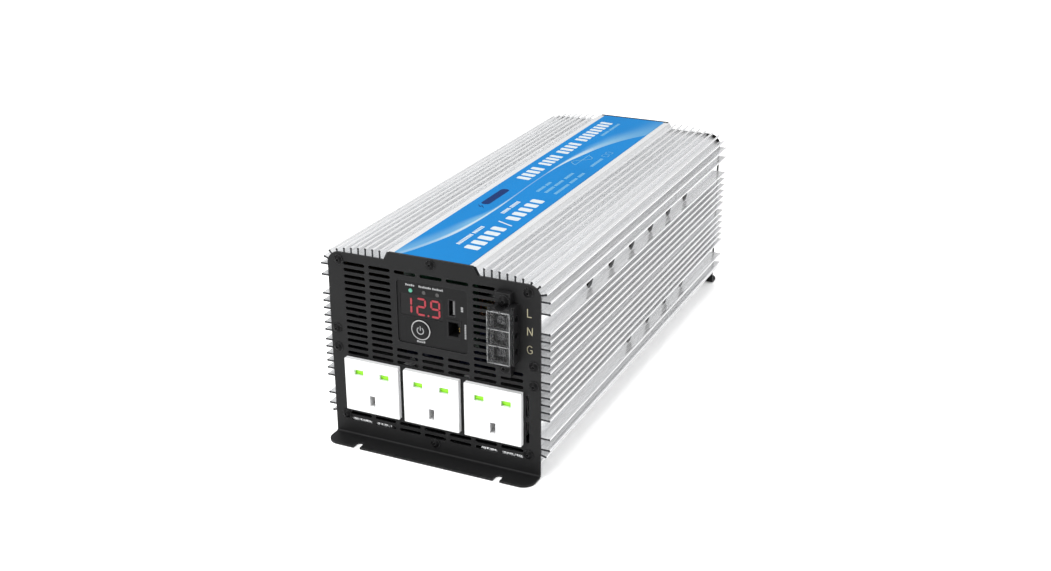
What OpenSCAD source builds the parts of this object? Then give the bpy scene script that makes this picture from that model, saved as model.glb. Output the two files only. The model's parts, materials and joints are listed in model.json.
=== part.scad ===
// Mains power inverter: two finned aluminium extrusions closed by folded steel end panels.
// +X is to the right across the front panel, +Y runs to the rear, +Z is up.
// The origin is the centre of the footprint, on the surface that the inverter stands on.

/* [Case] */
// Width of the front and rear panels
panel_w = 175.6; // [174:0.1:178]
// Distance from the front panel's face to the rear panel's face
body_l = 421.8; // [400:0.1:520]
// Height of the parting plane between the two extrusions
mid_z = 82.75; // [82.7:0.05:84]
// Thickness of the panels' sheet steel
plate_t = 1.5; // [1.2:0.1:1.6]
// Depth of the folded mounting flanges
flange_d = 18; // [16:0.5:30]
// Wall thickness of the extrusions
wall_t = 2.2; // [2:0.1:2.4]

/* [Fins] */
// Thickness of a fin
fin_t = 1.4; // [1.2:0.1:1.6]
// Spacing of the upright fins beside the label
top_fin_pitch = 6.15; // [6:0.05:6.2]
// Spacing of the level fins on the sides
side_fin_pitch = 6.05; // [6:0.05:6.1]
// Distance from the centre plane to the tips of the side fins
fin_reach = 95; // [94:0.5:100]
// Radius of the round vents in the sides
vent_r = 6.8; // [5:0.1:6.8]
// Spacing of the round vents along the sides
vent_pitch = 45.4; // [40:0.2:46]

/* [Front controls] */
// Spacing of the three mains sockets
socket_pitch = 51.33; // [50.5:0.1:51.6]
// Travel of a socket's safety shutter
shutter_travel = 6.2; // [5:0.1:6.5]
// Travel of the power button
button_travel = 0.8; // [0.4:0.1:1]
// Height of a digit on the meter
digit_h = 14.1; // [12:0.1:14.5]

/* [Rear] */
// Size of the square cooling fans
fan_size = 70; // [68:1:71]
// Radius of the battery terminal studs
stud_r = 5; // [4:0.5:5.5]
// Distance that the battery studs stand out of the rear panel
stud_reach = 26; // [24:0.5:30]

/* [Hidden] */
$fn = 48;
eps = 0.01;
cut = 1;

overall_l = flange_d + body_l + stud_reach;
front_y = flange_d - overall_l / 2;
rear_y = front_y + body_l;
shell_y0 = front_y + plate_t;
shell_y1 = rear_y - plate_t;
half_w = panel_w / 2;

// Panel outline, measured from the parting plane
panel_top_h = 77.65;
panel_shoulder_h = 70.95;
panel_corner_r = 10;
tab_top_w = 69.2;
tab_base_w = 77.2;
bend_r = 1.5;
fold_z = plate_t + bend_r;

// Extrusion outline, measured from the parting plane
shell_w = 85.5;
side_web_t = 1.5;
shell_top_h = panel_shoulder_h - 2.3;
shell_corner_r = 8;
plateau_h = 77.1;
plateau_top_w = 36.6;
plateau_base_w = 41;
parting_gap = 0.15;
port_r = 3.5;
port_hole_r = 1.65;
corner_x = shell_w - shell_corner_r;
corner_h = shell_top_h - shell_corner_r;

// Fins: upright, around the corner, and level
top_fin_x0 = 42.9;
top_fin_count = 6;
top_tip_h = 77.05;
top_tip_fall = 0.0028;
corner_fin_angles = [77, 46, 16.5];
corner_tip_r0 = 12.6;
corner_tip_gain = 0.045;
side_fin_h = [
    for (k = [0 : 5]) 4.1 + k * side_fin_pitch,
    49.85, 58.9
];
fin_bulb_r = 0.95;
vent_h = 42.1;
vent_y0 = front_y + 93.5;
vent_count = 6;
lower_vent_first = 2;

// Screws that hold a panel: x and height from the parting plane
panel_screws = [
    [-78.2, 64.8], [78.2, 64.8], [-82.6, 7.8], [82.6, 7.8], [0, 73.1],
    [-78.2, -64.8], [78.2, -64.8], [-82.6, -7.8], [82.6, -7.8], [0, -73.1]
];
screw_clear_r = 2.2;
screw_shank_r = 1.6;
screw_head_r = 3.5;
screw_skirt_t = 0.7;
screw_dome_r = 4.75;
screw_dome_drop = 2.6;
screw_hex_r = 1.35;
screw_hex_floor = 0.9;
screw_skirt_r = 4;

// Ventilation slots of the front panel
slot_w = 18.5;
slot_t = 2.95;
slot_pitch_x = 21.65;
slot_pitch_z = 5.25;
slot_top_z = 145.5;
slot_rows = 15;
low_slot_z = 14.7;

// Mounting notches in the flanges
notch_x = 59.9;
notch_w = 5.6;
notch_d = 7.7;
flange_corner_r = 10;

// Mains sockets
socket_x0 = -51.9;
socket_w = 46.6;
socket_h = 43.4;
socket_z = 46.9;
socket_proud = 4;
socket_corner_r = 0.4;
socket_gap_left = 2.4;
socket_body_w = 42.6;
socket_body_h = 40;
socket_back = 27;
housing_wall = 1.5;
chamber_wall = 2;
chamber_low = 20;
chamber_high = 4.9;
live_cell_w = 10.4;
live_cell_h = 7.2;
earth_cell_w = 7.2;
earth_cell_h = 11.2;
pin_half = 11.1;
pin_drop = 22.2;
pin_row_z = socket_z + pin_drop / 2;
live_slot = [8.2, 4.8];
earth_slot = [4.8, 8.8];
shutter_face = -1.6;
shutter_t = 2;
shutter_gap = 0.35;
contact_y = 13.5;

// Control module
module_x = 0.3;
module_z = 115;
module_w = 58;
module_h = 50;
module_r = 3;
module_recess = 0.8;
bezel_t = 2.4;
led_x0 = -17.5;
led_pitch = 11.2;
led_z = 132.6;
led_r = 1.5;
display_x = -9;
display_z = 120.7;
display_w = 35;
display_hh = 17;
digit_pitch = 11.75;
digit_w = 8.2;
seg_t = 1.5;
usb_x = 16.6;
usb_z = 124.3;
usb_w = 5.7;
usb_h = 13.2;
button_x = -9.6;
button_z = 102.2;
button_r = 6.6;
ring_r = 8.1;
jack_x = 18.4;
jack_z = 107.6;
jack_w = 11.6;
jack_h = 15.4;
jack_open_w = 8.2;
jack_open_h = 11.4;
jack_depth = 12.5;
board_gap = 14.5;

// Mains terminal block
block_x0 = 54.9;
block_x1 = 70.8;
block_z0 = 92.3;
block_z1 = 137.5;
block_d = 12.6;
ear_x0 = 54.4;
ear_x1 = 66.5;
ear_z0 = 80.8;
ear_z1 = 146.2;
ear_d = 5;
cell_pitch = 12.7;
cell_z = (block_z0 + block_z1) / 2;
cell_w = 10.8;
ear_screw_x = 61.6;
ear_screw_head = 1.18;
ear_head_gap = 0.3;
ear_hole_r = 1.9;
boss_w = 11;
boss_h = 36;
boss_d = 7;
ear_screw_z = [88, 140.2];
entry_r = 2.6;
entry_wall = 4;
entry_y = front_y - 4;
cell_floor = 0.3;
cover_lip_d = 4.2;
hinge_x = block_x0 - 1.3;
hinge_y = front_y - 12.3;
hinge_pin_r = 0.8;
hinge_clear = 0.07;
knuckle_r = 1.5;
hinge_post_t = 1.8;
cover_t = 1.3;
cover_gap = 0.5;

// Fans and battery terminals
fan_x = 37.5;
fan_z = 104.5;
fan_t = 25;
fan_hole_pitch = 60;
fan_duct_r = 33;
fan_y0 = shell_y1 - fan_t;
hub_r = 16;
blade_count = 7;
blade_r = 31.8;
stud_x = 38;
stud_z = 41;
stud_core_r = stud_r - 0.2;
stud_head_r = 9.5;
stud_head_t = 6;
stud_head_back = 17;
stud_chamfer = 0.8;
collar_r = 14;
collar_t = 5;
washer_r = 10;
washer_t = 2;
nut_flats = 17;
nut_t = 8;

// Inner assembly
board_z = 26;
board_t = 1.6;
board_w = 148;
board_y0 = front_y + 42;
board_y1 = rear_y - 36;
floor_z = mid_z - shell_top_h + wall_t;
standoff_x = 62;
standoff_y = [board_y0 + 12, (board_y0 + board_y1) / 2, board_y1 - 12];
deck_z = board_z + board_t;

// ---------- helpers ----------

// Extrudes a drawing in X and Z from y0 towards the rear by t
module plate(y0, t) {
    translate([0, y0 + t, 0])
        rotate([90, 0, 0])
            linear_extrude(t)
                children();
}

// Round bar along Y
module rod_y(r, y0, y1) {
    translate([0, y1, 0])
        rotate([90, 0, 0])
            cylinder(r = r, h = y1 - y0);
}

// Round bar along X
module rod_x(r, x0, x1) {
    translate([x0, 0, 0])
        rotate([0, 90, 0])
            cylinder(r = r, h = x1 - x0);
}

// Rectangle with rounded corners about the origin
module rounded(w, h, r) {
    square([w - 2 * r, h], center = true);
    square([w, h - 2 * r], center = true);
    for (x = [-1, 1], y = [-1, 1]) {
        translate([x * (w / 2 - r), y * (h / 2 - r)])
            circle(r);
    }
}

// Slot with round ends about the origin
module slot(w, t) {
    square([w - t, t], center = true);
    for (x = [-1, 1]) {
        translate([x * (w - t) / 2, 0])
            circle(t / 2);
    }
}

// Box between two corners
module block(a, b) {
    translate(a)
        cube(b - a);
}

// ---------- extrusions ----------

// Half outline of the case above the parting plane, drawn inwards by d
module envelope(d, base) {
    r = shell_corner_r - d;
    translate([-(shell_w - d), base])
        square([2 * (shell_w - d), corner_h - base]);
    translate([-corner_x, corner_h - cut])
        square([2 * corner_x, r + cut]);
    for (x = [-corner_x, corner_x]) {
        translate([x, corner_h])
            circle(r);
    }
    side = d * 0.6;
    polygon([
        [plateau_base_w - side, corner_h],
        [plateau_base_w - side, shell_top_h - d],
        [plateau_top_w - side, plateau_h - d],
        [-(plateau_top_w - side), plateau_h - d],
        [-(plateau_base_w - side), shell_top_h - d],
        [-(plateau_base_w - side), corner_h]
    ]);
}

// One fin along +X from the origin, with a rounded bead on its tip
module fin(length) {
    translate([0, -fin_t / 2])
        square([length - fin_bulb_r, fin_t]);
    translate([length - fin_bulb_r, 0])
        circle(fin_bulb_r);
}

module fins_one_side() {
    for (k = [0 : top_fin_count - 1]) {
        x = top_fin_x0 + k * top_fin_pitch;
        tip = top_tip_h - top_tip_fall * pow(x - top_fin_x0, 2);
        translate([x, shell_top_h - cut])
            rotate(90)
                fin(tip - shell_top_h + cut);
    }
    for (a = corner_fin_angles) {
        translate([corner_x, corner_h])
            rotate(a)
                translate([shell_corner_r - cut, 0])
                    fin(corner_tip_r0 + (77 - a) * corner_tip_gain - shell_corner_r + cut);
    }
    for (h = side_fin_h) {
        translate([shell_w - cut, h])
            fin(fin_reach - shell_w + cut);
    }
}

// Thicker lower part of the side wall, from the parting plane up to the last fin below the corner
module side_web(left) {
    translate([left, parting_gap])
        square([side_web_t + cut, side_fin_h[len(side_fin_h) - 1] - parting_gap]);
}

module shell_section() {
    difference() {
        union() {
            side_web(shell_w - cut);
            side_web(-shell_w - side_web_t);
            difference() {
                envelope(0, parting_gap);
                envelope(wall_t, -cut);
            }
            intersection() {
                envelope(0, parting_gap);
                for (s = [for (p = panel_screws) if (p[1] > 0) p]) {
                    translate(s)
                        circle(port_r);
                }
            }
            fins_one_side();
            mirror([1, 0])
                fins_one_side();
        }
        for (s = [for (p = panel_screws) if (p[1] > 0) p]) {
            translate(s)
                circle(port_hole_r);
        }
    }
}

module shell(first_vent) {
    difference() {
        plate(shell_y0, shell_y1 - shell_y0)
            shell_section();
        for (k = [first_vent : vent_count - 1], x = [-1, 1]) {
            translate([x * shell_w, vent_y0 + k * vent_pitch, vent_h])
                rod_x(vent_r, -2 * wall_t, 2 * wall_t);
        }
    }
}

module upper_shell() {
    color("gainsboro")
        translate([0, 0, mid_z])
            shell(0);
}

module lower_shell() {
    color("gainsboro")
        translate([0, 0, mid_z])
            mirror([0, 0, 1])
                shell(lower_vent_first);
}

module top_label() {
    label_w = 61.8;
    label_t = 0.3;
    color("dodgerblue")
        translate([0, (shell_y0 + shell_y1) / 2, mid_z + plateau_h])
            linear_extrude(label_t)
                rounded(label_w, shell_y1 - shell_y0 - 1.6, 1.5);
}

// ---------- panels ----------

module panel_outline() {
    top_z = mid_z + panel_shoulder_h;
    translate([-half_w, fold_z])
        square([panel_w, top_z - panel_corner_r - fold_z]);
    translate([-half_w + panel_corner_r, top_z - panel_corner_r - cut])
        square([panel_w - 2 * panel_corner_r, panel_corner_r + cut]);
    for (x = [-1, 1]) {
        translate([x * (half_w - panel_corner_r), top_z - panel_corner_r])
            circle(panel_corner_r);
    }
    polygon([
        [tab_base_w / 2, top_z - cut],
        [tab_base_w / 2, top_z],
        [tab_top_w / 2, mid_z + panel_top_h],
        [-tab_top_w / 2, mid_z + panel_top_h],
        [-tab_base_w / 2, top_z],
        [-tab_base_w / 2, top_z - cut]
    ]);
}

module panel_screw_holes() {
    for (s = panel_screws) {
        translate([s[0], mid_z + s[1]])
            circle(screw_clear_r);
    }
}

// Folded flange in front of a panel whose face is at y = 0
module flange() {
    translate([-half_w, 0, 0])
        rotate([90, 0, 90])
            linear_extrude(panel_w)
                translate([-bend_r, fold_z])
                    difference() {
                        circle(bend_r + plate_t);
                        circle(bend_r);
                        translate([-2 * fold_z, -2 * fold_z])
                            square([2 * fold_z, 4 * fold_z]);
                        translate([-fold_z, 0])
                            square([3 * fold_z, 2 * fold_z]);
                    }
    difference() {
        linear_extrude(plate_t)
            difference() {
                union() {
                    translate([-half_w, -flange_d + flange_corner_r])
                        square([panel_w, flange_d - flange_corner_r - bend_r]);
                    translate([-half_w + flange_corner_r, -flange_d])
                        square([panel_w - 2 * flange_corner_r, flange_d - bend_r]);
                    for (x = [-1, 1]) {
                        translate([x * (half_w - flange_corner_r), -flange_d + flange_corner_r])
                            circle(flange_corner_r);
                    }
                }
                for (x = [-notch_x, notch_x]) {
                    translate([x, -flange_d + notch_d - notch_w / 2])
                        circle(notch_w / 2);
                    translate([x - notch_w / 2, -flange_d - cut])
                        square([notch_w, notch_d - notch_w / 2 + cut]);
                }
            }
        // the round corners must not reach past the fold line
        translate([-panel_w, -bend_r, -cut])
            cube([2 * panel_w, flange_d, plate_t + 2 * cut]);
    }
}

function slot_rows_in(column) =
    column < 2 || column == 5 ? [for (r = [0 : slot_rows - 1]) r]
    : column < 5 ? [0, slot_rows - 3, slot_rows - 2, slot_rows - 1]
    : [slot_rows - 3, slot_rows - 2, slot_rows - 1];

module front_slots() {
    for (c = [0 : 6]) {
        x = (c - 3) * slot_pitch_x;
        for (r = slot_rows_in(c)) {
            translate([x, slot_top_z - r * slot_pitch_z])
                slot(slot_w, slot_t);
        }
        for (r = [0, 1]) {
            translate([x, low_slot_z + r * slot_pitch_z])
                slot(slot_w, slot_t);
        }
    }
    for (z = [36, 57.4]) {
        translate([77.5, z])
            rotate(90)
                slot(18, 2.9);
    }
}

module front_panel() {
    color([0.17, 0.17, 0.18]) {
        plate(front_y, plate_t)
            difference() {
                panel_outline();
                panel_screw_holes();
                front_slots();
                translate([module_x, module_z])
                    rounded(module_w + 0.6, module_h + 0.6, module_r);
                for (k = [0 : 2]) {
                    translate([
                        socket_x0 + k * socket_pitch - socket_body_w / 2 - socket_gap_left - 2,
                        socket_z - socket_body_h / 2 - 0.3
                    ])
                        square([socket_body_w + socket_gap_left + 2.3, socket_body_h + 0.6]);
                }
                translate([ear_screw_x, cell_z])
                    square([boss_w + 0.6, boss_h + 0.6], center = true);
                for (z = ear_screw_z) {
                    translate([ear_screw_x, z])
                        circle(screw_clear_r);
                }
            }
        translate([0, front_y, 0])
            flange();
    }
}

module rear_panel() {
    color([0.17, 0.17, 0.18]) {
        plate(shell_y1, plate_t)
            difference() {
                panel_outline();
                panel_screw_holes();
                for (x = [-fan_x, fan_x]) {
                    translate([x, fan_z]) {
                        circle(fan_duct_r);
                        for (sx = [-1, 1], sz = [-1, 1]) {
                            translate([sx, sz] * fan_hole_pitch / 2)
                                circle(screw_clear_r);
                        }
                    }
                }
                for (x = [-stud_x, stud_x]) {
                    translate([x, stud_z])
                        circle(collar_r - 4);
                }
                translate([0, stud_z])
                    circle(2.7);
            }
        translate([0, rear_y, 0])
            mirror([0, 1, 0])
                flange();
    }
}

// Button-head screw whose head rests on y = 0 and whose shank runs to the rear
module button_screw(shank_r, shank_l, head = 1) {
    rotate([90, 0, 0])
        difference() {
            union() {
                cylinder(r = screw_skirt_r * head, h = screw_skirt_t * head);
                intersection() {
                    translate([0, 0, -screw_dome_drop * head])
                        sphere(r = screw_dome_r * head);
                    cylinder(r = screw_head_r * head, h = screw_dome_r);
                }
            }
            translate([0, 0, screw_hex_floor * head])
                cylinder(r = screw_hex_r * head, h = screw_dome_r, $fn = 6);
        }
    rod_y(shank_r, -0.3, shank_l);
}

module panel_screw_set() {
    for (s = panel_screws) {
        translate([s[0], 0, mid_z + s[1]])
            button_screw(screw_shank_r, plate_t + 9);
    }
}

module front_panel_screws() {
    color([0.1, 0.1, 0.1])
        translate([0, front_y, 0])
            panel_screw_set();
}

module rear_panel_screws() {
    color([0.1, 0.1, 0.1])
        translate([0, rear_y, 0])
            mirror([0, 1, 0])
                panel_screw_set();
}

// ---------- mains sockets ----------

module pin_openings(grow) {
    for (x = [-pin_half, pin_half]) {
        translate([x, pin_row_z])
            square(live_slot + [grow, grow], center = true);
    }
    translate([0, pin_row_z - pin_drop])
        square(earth_slot + [grow, grow], center = true);
}

// Outline of the shutter's chamber and of the earth contact's cell, between two depths behind the panel's face
module shutter_chamber(y0, y1) {
    block(
        [-socket_body_w / 2 + chamber_wall, y0, pin_row_z - chamber_low],
        [socket_body_w / 2 - chamber_wall, y1, pin_row_z + chamber_high]
    );
}

module earth_cell(y0, y1) {
    block(
        [-earth_cell_w / 2, y0, pin_row_z - pin_drop - earth_cell_h / 2],
        [earth_cell_w / 2, y1, pin_row_z - pin_drop + earth_cell_h / 2]
    );
}

// Face moulding: pin openings in front, a shallow recess for the shutter behind
module socket_face() {
    difference() {
        plate(-socket_proud, socket_proud)
            translate([0, socket_z])
                rounded(socket_w, socket_h, socket_corner_r);
        plate(-socket_proud - cut, socket_proud + shutter_face + 2 * cut)
            pin_openings(0);
        shutter_chamber(shutter_face, cut);
        earth_cell(shutter_face - eps, cut);
    }
}

// Rear moulding behind the face: the rest of the chamber and a cell for each contact
module socket_housing() {
    difference() {
        plate(0, socket_back)
            translate([0, socket_z])
                square([socket_body_w, socket_body_h], center = true);
        shutter_chamber(-cut, shutter_face + shutter_t + 2 * shutter_gap);
        for (x = [-pin_half, pin_half]) {
            block(
                [x - live_cell_w / 2, -cut, pin_row_z - live_cell_h / 2],
                [x + live_cell_w / 2, socket_back - housing_wall, pin_row_z + live_cell_h / 2]
            );
        }
        earth_cell(-cut, socket_back - housing_wall);
    }
}

module socket_at(k) {
    color("white")
        translate([socket_x0 + k * socket_pitch, front_y, 0])
            socket_face();
}

module socket_housings() {
    color([0.9, 0.9, 0.9])
        for (k = [0 : 2]) {
            translate([socket_x0 + k * socket_pitch, front_y, 0])
                socket_housing();
        }
}

module socket_left() {
    socket_at(0);
}

module socket_middle() {
    socket_at(1);
}

module socket_right() {
    socket_at(2);
}

// Sliding shutter close behind the face, with a sloped nose at its lower edge
module shutter_at(k) {
    color("yellowgreen")
        translate([
            socket_x0 + k * socket_pitch,
            front_y + shutter_face + shutter_gap,
            pin_row_z
        ])
            difference() {
                union() {
                    block([-17, 0, -3.8], [17, shutter_t, 4.2]);
                    block([-4, 0, -8], [4, shutter_t, -3.8 + eps]);
                }
                translate([-cut - 4, 0, -8])
                    rotate([40, 0, 0])
                        translate([0, -4, -6])
                            cube([8 + 2 * cut, 4, 8]);
            }
}

module shutter_left() {
    shutter_at(0);
}

module shutter_middle() {
    shutter_at(1);
}

module shutter_right() {
    shutter_at(2);
}

// Sprung contact: two leaves joined by a bridge at the back
module contact(w, h) {
    depth = 12;
    leaf = 0.8;
    for (z = [-1, 1]) {
        translate([0, depth / 2, z * (h - leaf) / 2])
            cube([w, depth, leaf], center = true);
    }
    translate([0, depth - leaf / 2, 0])
        cube([w, leaf, h], center = true);
}

module contacts_at(k) {
    color("goldenrod")
        translate([socket_x0 + k * socket_pitch, front_y + contact_y, pin_row_z]) {
            for (x = [-pin_half, pin_half]) {
                translate([x, 0, 0])
                    contact(8.4, 6.4);
            }
            translate([0, 0, -pin_drop])
                contact(6, 10.4);
        }
}

module contacts_left() {
    contacts_at(0);
}

module contacts_middle() {
    contacts_at(1);
}

module contacts_right() {
    contacts_at(2);
}

// ---------- control module ----------

module control_bezel() {
    color([0.07, 0.07, 0.08])
        translate([0, front_y, 0])
            difference() {
                union() {
                    plate(module_recess, bezel_t)
                        translate([module_x, module_z])
                            rounded(module_w, module_h, module_r);
                    plate(plate_t, module_recess + bezel_t - plate_t)
                        translate([module_x, module_z])
                            rounded(module_w + 5, module_h + 4, module_r);
                }
                plate(0, 6)
                    union() {
                        for (k = [0 : 2]) {
                            translate([led_x0 + k * led_pitch, led_z])
                                circle(led_r + 0.1);
                        }
                        translate([display_x, display_z])
                            square([display_w + 0.3, display_hh + 0.3], center = true);
                        translate([usb_x, usb_z])
                            square([usb_w + 0.3, usb_h + 0.3], center = true);
                        translate([button_x, button_z])
                            circle(ring_r - 0.6);
                        translate([jack_x, jack_z])
                            square([jack_w + 0.3, jack_h + 0.3], center = true);
                    }
            }
}

module display_body() {
    color([0.12, 0.04, 0.04])
        block(
            [display_x - display_w / 2, front_y + module_recess + 0.4, display_z - display_hh / 2],
            [display_x + display_w / 2, front_y + board_gap - 1, display_z + display_hh / 2]
        );
}

// One bar of a seven-segment digit, pointed at both ends
module segment(length) {
    e = seg_t / 2;
    polygon([
        [-length / 2, 0], [-length / 2 + e, e], [length / 2 - e, e],
        [length / 2, 0], [length / 2 - e, -e], [-length / 2 + e, -e]
    ]);
}

// Segments are lettered a to g, clockwise from the top, g in the middle
module digit(lit) {
    w = digit_w - seg_t;
    h = (digit_h - seg_t) / 2;
    gap = 0.25;
    places = [
        [0, h, 0, w], [w / 2, h / 2, 90, h], [w / 2, -h / 2, 90, h],
        [0, -h, 0, w], [-w / 2, -h / 2, 90, h], [-w / 2, h / 2, 90, h], [0, 0, 0, w]
    ];
    for (i = lit) {
        translate([places[i][0], places[i][1]])
            rotate(places[i][2])
                segment(places[i][3] - 2 * gap);
    }
}

module display_segments() {
    readings = [[1, 2], [0, 1, 6, 4, 3], [0, 1, 2, 3, 5, 6]];
    color("red")
        plate(front_y + module_recess + 0.1, 0.3)
            translate([display_x, display_z]) {
                for (k = [0 : 2]) {
                    translate([(k - 1) * digit_pitch, 0])
                        digit(readings[k]);
                }
                translate([digit_pitch / 2, -digit_h / 2 + 0.8])
                    circle(0.75);
            }
}

module led(k) {
    translate([led_x0 + k * led_pitch, front_y + module_recess - 0.3, led_z]) {
        rod_y(led_r, 0, 5);
        rod_y(led_r + 0.5, 5, 6);
    }
}

module led_power() {
    color("springgreen")
        led(0);
}

module led_warning() {
    color([0.25, 0.2, 0.18])
        for (k = [1, 2]) {
            led(k);
        }
}

module button_ring() {
    color([0.35, 0.35, 0.37])
        translate([button_x, front_y + module_recess, button_z])
            rotate([90, 0, 0])
                rotate_extrude()
                    polygon([
                        [button_r + 0.25, -5], [ring_r - 0.8, -5], [ring_r - 0.8, 0],
                        [ring_r, 0], [ring_r, 0.5], [ring_r - 0.4, 0.8], [button_r + 0.25, 0.8]
                    ]);
}

module power_button() {
    color([0.1, 0.1, 0.11])
        translate([button_x, front_y + module_recess, button_z])
            rotate([90, 0, 0])
                difference() {
                    rotate_extrude()
                        polygon([
                            [0, -6.5], [button_r - 2.5, -6.5], [button_r - 2.5, -3], [button_r, -3],
                            [button_r, 1], [button_r - 0.5, 1.5], [0, 1.5]
                        ]);
                    // shallow dish under the fingertip
                    translate([0, 0, 31.2])
                        sphere(r = 30);
                }
}

module usb_shell() {
    color("silver")
        translate([usb_x, 0, usb_z])
            difference() {
                block(
                    [-usb_w / 2, front_y + module_recess, -usb_h / 2],
                    [usb_w / 2, front_y + board_gap - 0.5, usb_h / 2]
                );
                block(
                    [-usb_w / 2 + 0.4, front_y - cut, -usb_h / 2 + 0.4],
                    [usb_w / 2 - 0.4, front_y + board_gap - 2, usb_h / 2 - 0.4]
                );
            }
}

module usb_tongue() {
    color([0.92, 0.92, 0.9])
        translate([usb_x, 0, usb_z])
            block(
                [0.4, front_y + module_recess + 1, -usb_h / 2 + 1.2],
                [2.2, front_y + board_gap - 2, usb_h / 2 - 1.2]
            );
}

module remote_jack() {
    color([0.16, 0.16, 0.17])
        translate([jack_x, front_y, jack_z])
            difference() {
                block([-jack_w / 2, module_recess - 0.3, -jack_h / 2], [jack_w / 2, board_gap - 0.5, jack_h / 2]);
                block(
                    [-jack_w / 2 + 1, -cut, -jack_open_h / 2],
                    [-jack_w / 2 + 1 + jack_open_w, jack_depth, jack_open_h / 2]
                );
                block(
                    [jack_w / 2 - 3, -cut, -3],
                    [jack_w / 2 - 1, jack_depth, 3]
                );
            }
}

module control_board() {
    color("darkgreen")
        plate(front_y + board_gap, 1.6)
            translate([module_x, module_z])
                square([62, 56], center = true);
}

// ---------- mains terminal block ----------

module block_body() {
    difference() {
        union() {
            block([ear_x0, front_y - ear_d, ear_z0], [ear_x1, front_y, ear_z1]);
            block([block_x0, front_y - block_d, block_z0], [block_x1, front_y, block_z1]);
            block(
                [ear_screw_x - boss_w / 2, front_y - eps, cell_z - boss_h / 2],
                [ear_screw_x + boss_w / 2, front_y + boss_d, cell_z + boss_h / 2]
            );
        }
        for (k = [-1 : 1]) {
            translate([0, 0, cell_z + k * cell_pitch]) {
                block(
                    [block_x0 + 2, front_y - block_d - cut, -cell_w / 2],
                    [block_x1 - entry_wall, front_y - cell_floor, cell_w / 2]
                );
                translate([0, entry_y, 0])
                    rod_x(entry_r, block_x1 - entry_wall - cut, block_x1 + cut);
            }
        }
        // step down beside the wire entries, for the lip of the cover
        block(
            [block_x1 - 1.8, front_y - block_d - cut, block_z0 - cut],
            [block_x1 + cut, front_y - block_d + cover_lip_d, block_z1 + cut]
        );
        // holes for the ear screws, and scallops that clear their heads
        for (z = ear_screw_z) {
            translate([ear_screw_x, 0, z]) {
                rod_y(ear_hole_r, front_y - ear_d - cut, front_y + cut);
                rod_y(ear_screw_head * screw_skirt_r + ear_head_gap, front_y - block_d - cut, front_y - ear_d);
            }
        }
        // hollow in which the cover's knuckle turns
        translate([hinge_x, hinge_y, block_z0 + hinge_post_t])
            cylinder(r = knuckle_r + 0.35, h = block_z1 - block_z0 - 2 * hinge_post_t);
    }
}

module terminal_block() {
    color([0.11, 0.11, 0.12]) {
        block_body();
        // posts and pin of the cover's hinge
        for (z = [block_z0, block_z1 - hinge_post_t]) {
            block([hinge_x - 1.2, hinge_y - 1, z], [block_x0 + eps, hinge_y + 3, z + hinge_post_t]);
        }
        translate([hinge_x, hinge_y, block_z0 + eps])
            cylinder(r = hinge_pin_r, h = block_z1 - block_z0 - 2 * eps);
    }
}

module terminal_cover() {
    face_y = front_y - block_d - cover_gap;
    z0 = block_z0 + hinge_post_t + 0.4;
    z1 = block_z1 - hinge_post_t - 0.4;
    lip_x = block_x1 - 0.3;
    color([0.85, 0.9, 0.92, 0.4])
        difference() {
            union() {
                block([hinge_x, face_y - cover_t, z0], [lip_x, face_y, z1]);
                block([lip_x - 1.2, face_y - cover_t, z0], [lip_x, front_y - block_d + cover_lip_d - 0.4, z1]);
                block([hinge_x - knuckle_r, face_y - cover_t, z0], [hinge_x + 1, hinge_y, z1]);
                translate([hinge_x, hinge_y, z0])
                    cylinder(r = knuckle_r, h = z1 - z0);
            }
            translate([hinge_x, hinge_y, z0 - cut])
                cylinder(r = hinge_pin_r + hinge_clear, h = z1 - z0 + 2 * cut);
        }
}

module terminal_screws() {
    color("silver")
        for (k = [-1 : 1]) {
            translate([ear_screw_x, front_y - 8.2, cell_z + k * cell_pitch])
                difference() {
                    union() {
                        rod_y(3.1, -1.4, 0.6);
                        rod_y(1.6, 0.6, 1.3);
                    }
                    for (a = [0, 90]) {
                        rotate([0, a, 0])
                            block([-2.1, -2.4, -0.4], [2.1, -0.4, 0.4]);
                    }
                }
        }
}

module terminal_clamps() {
    color("goldenrod")
        for (k = [-1 : 1]) {
            translate([ear_screw_x, front_y, cell_z + k * cell_pitch])
                difference() {
                    block([-4.6, -7.4, -4.6], [4.6, -0.5, 4.6]);
                    translate([0, entry_y - front_y, 0])
                        cube([12, 5.6, 6.4], center = true);
                    rod_y(1.65, -8.2, -6.2);
                }
        }
}

module block_screws() {
    color([0.1, 0.1, 0.1])
        for (z = ear_screw_z) {
            translate([ear_screw_x, front_y - ear_d, z])
                button_screw(screw_shank_r, ear_d + plate_t + 5, ear_screw_head);
        }
}

// ---------- fans ----------

module fan_frame() {
    color([0.09, 0.09, 0.1])
        difference() {
            plate(fan_y0, fan_t)
                difference() {
                    rounded(fan_size, fan_size, 4);
                    circle(fan_duct_r);
                    for (x = [-1, 1], z = [-1, 1]) {
                        translate([x, z] * fan_hole_pitch / 2)
                            circle(screw_shank_r + 0.1);
                    }
                }
            // waist between the two square flanges
            difference() {
                plate(fan_y0 + 4, fan_t - 8)
                    square(fan_size + 2, center = true);
                rod_y(fan_duct_r + 1.4, fan_y0, fan_y0 + fan_t);
            }
        }
    // motor holder on three struts
    color([0.09, 0.09, 0.1])
        difference() {
            union() {
                rod_y(hub_r - 2, fan_y0 + 0.5, fan_y0 + 3.5);
                for (a = [0, 120, 240]) {
                    rotate([0, a, 0])
                        block([-2, fan_y0 + 0.5, 0], [2, fan_y0 + 3.5, fan_duct_r + 0.4]);
                }
                rod_y(3, fan_y0 + 0.5, fan_y0 + 12);
            }
            rod_y(1.56, fan_y0 - 1, fan_y0 + 13);
        }
}

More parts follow.
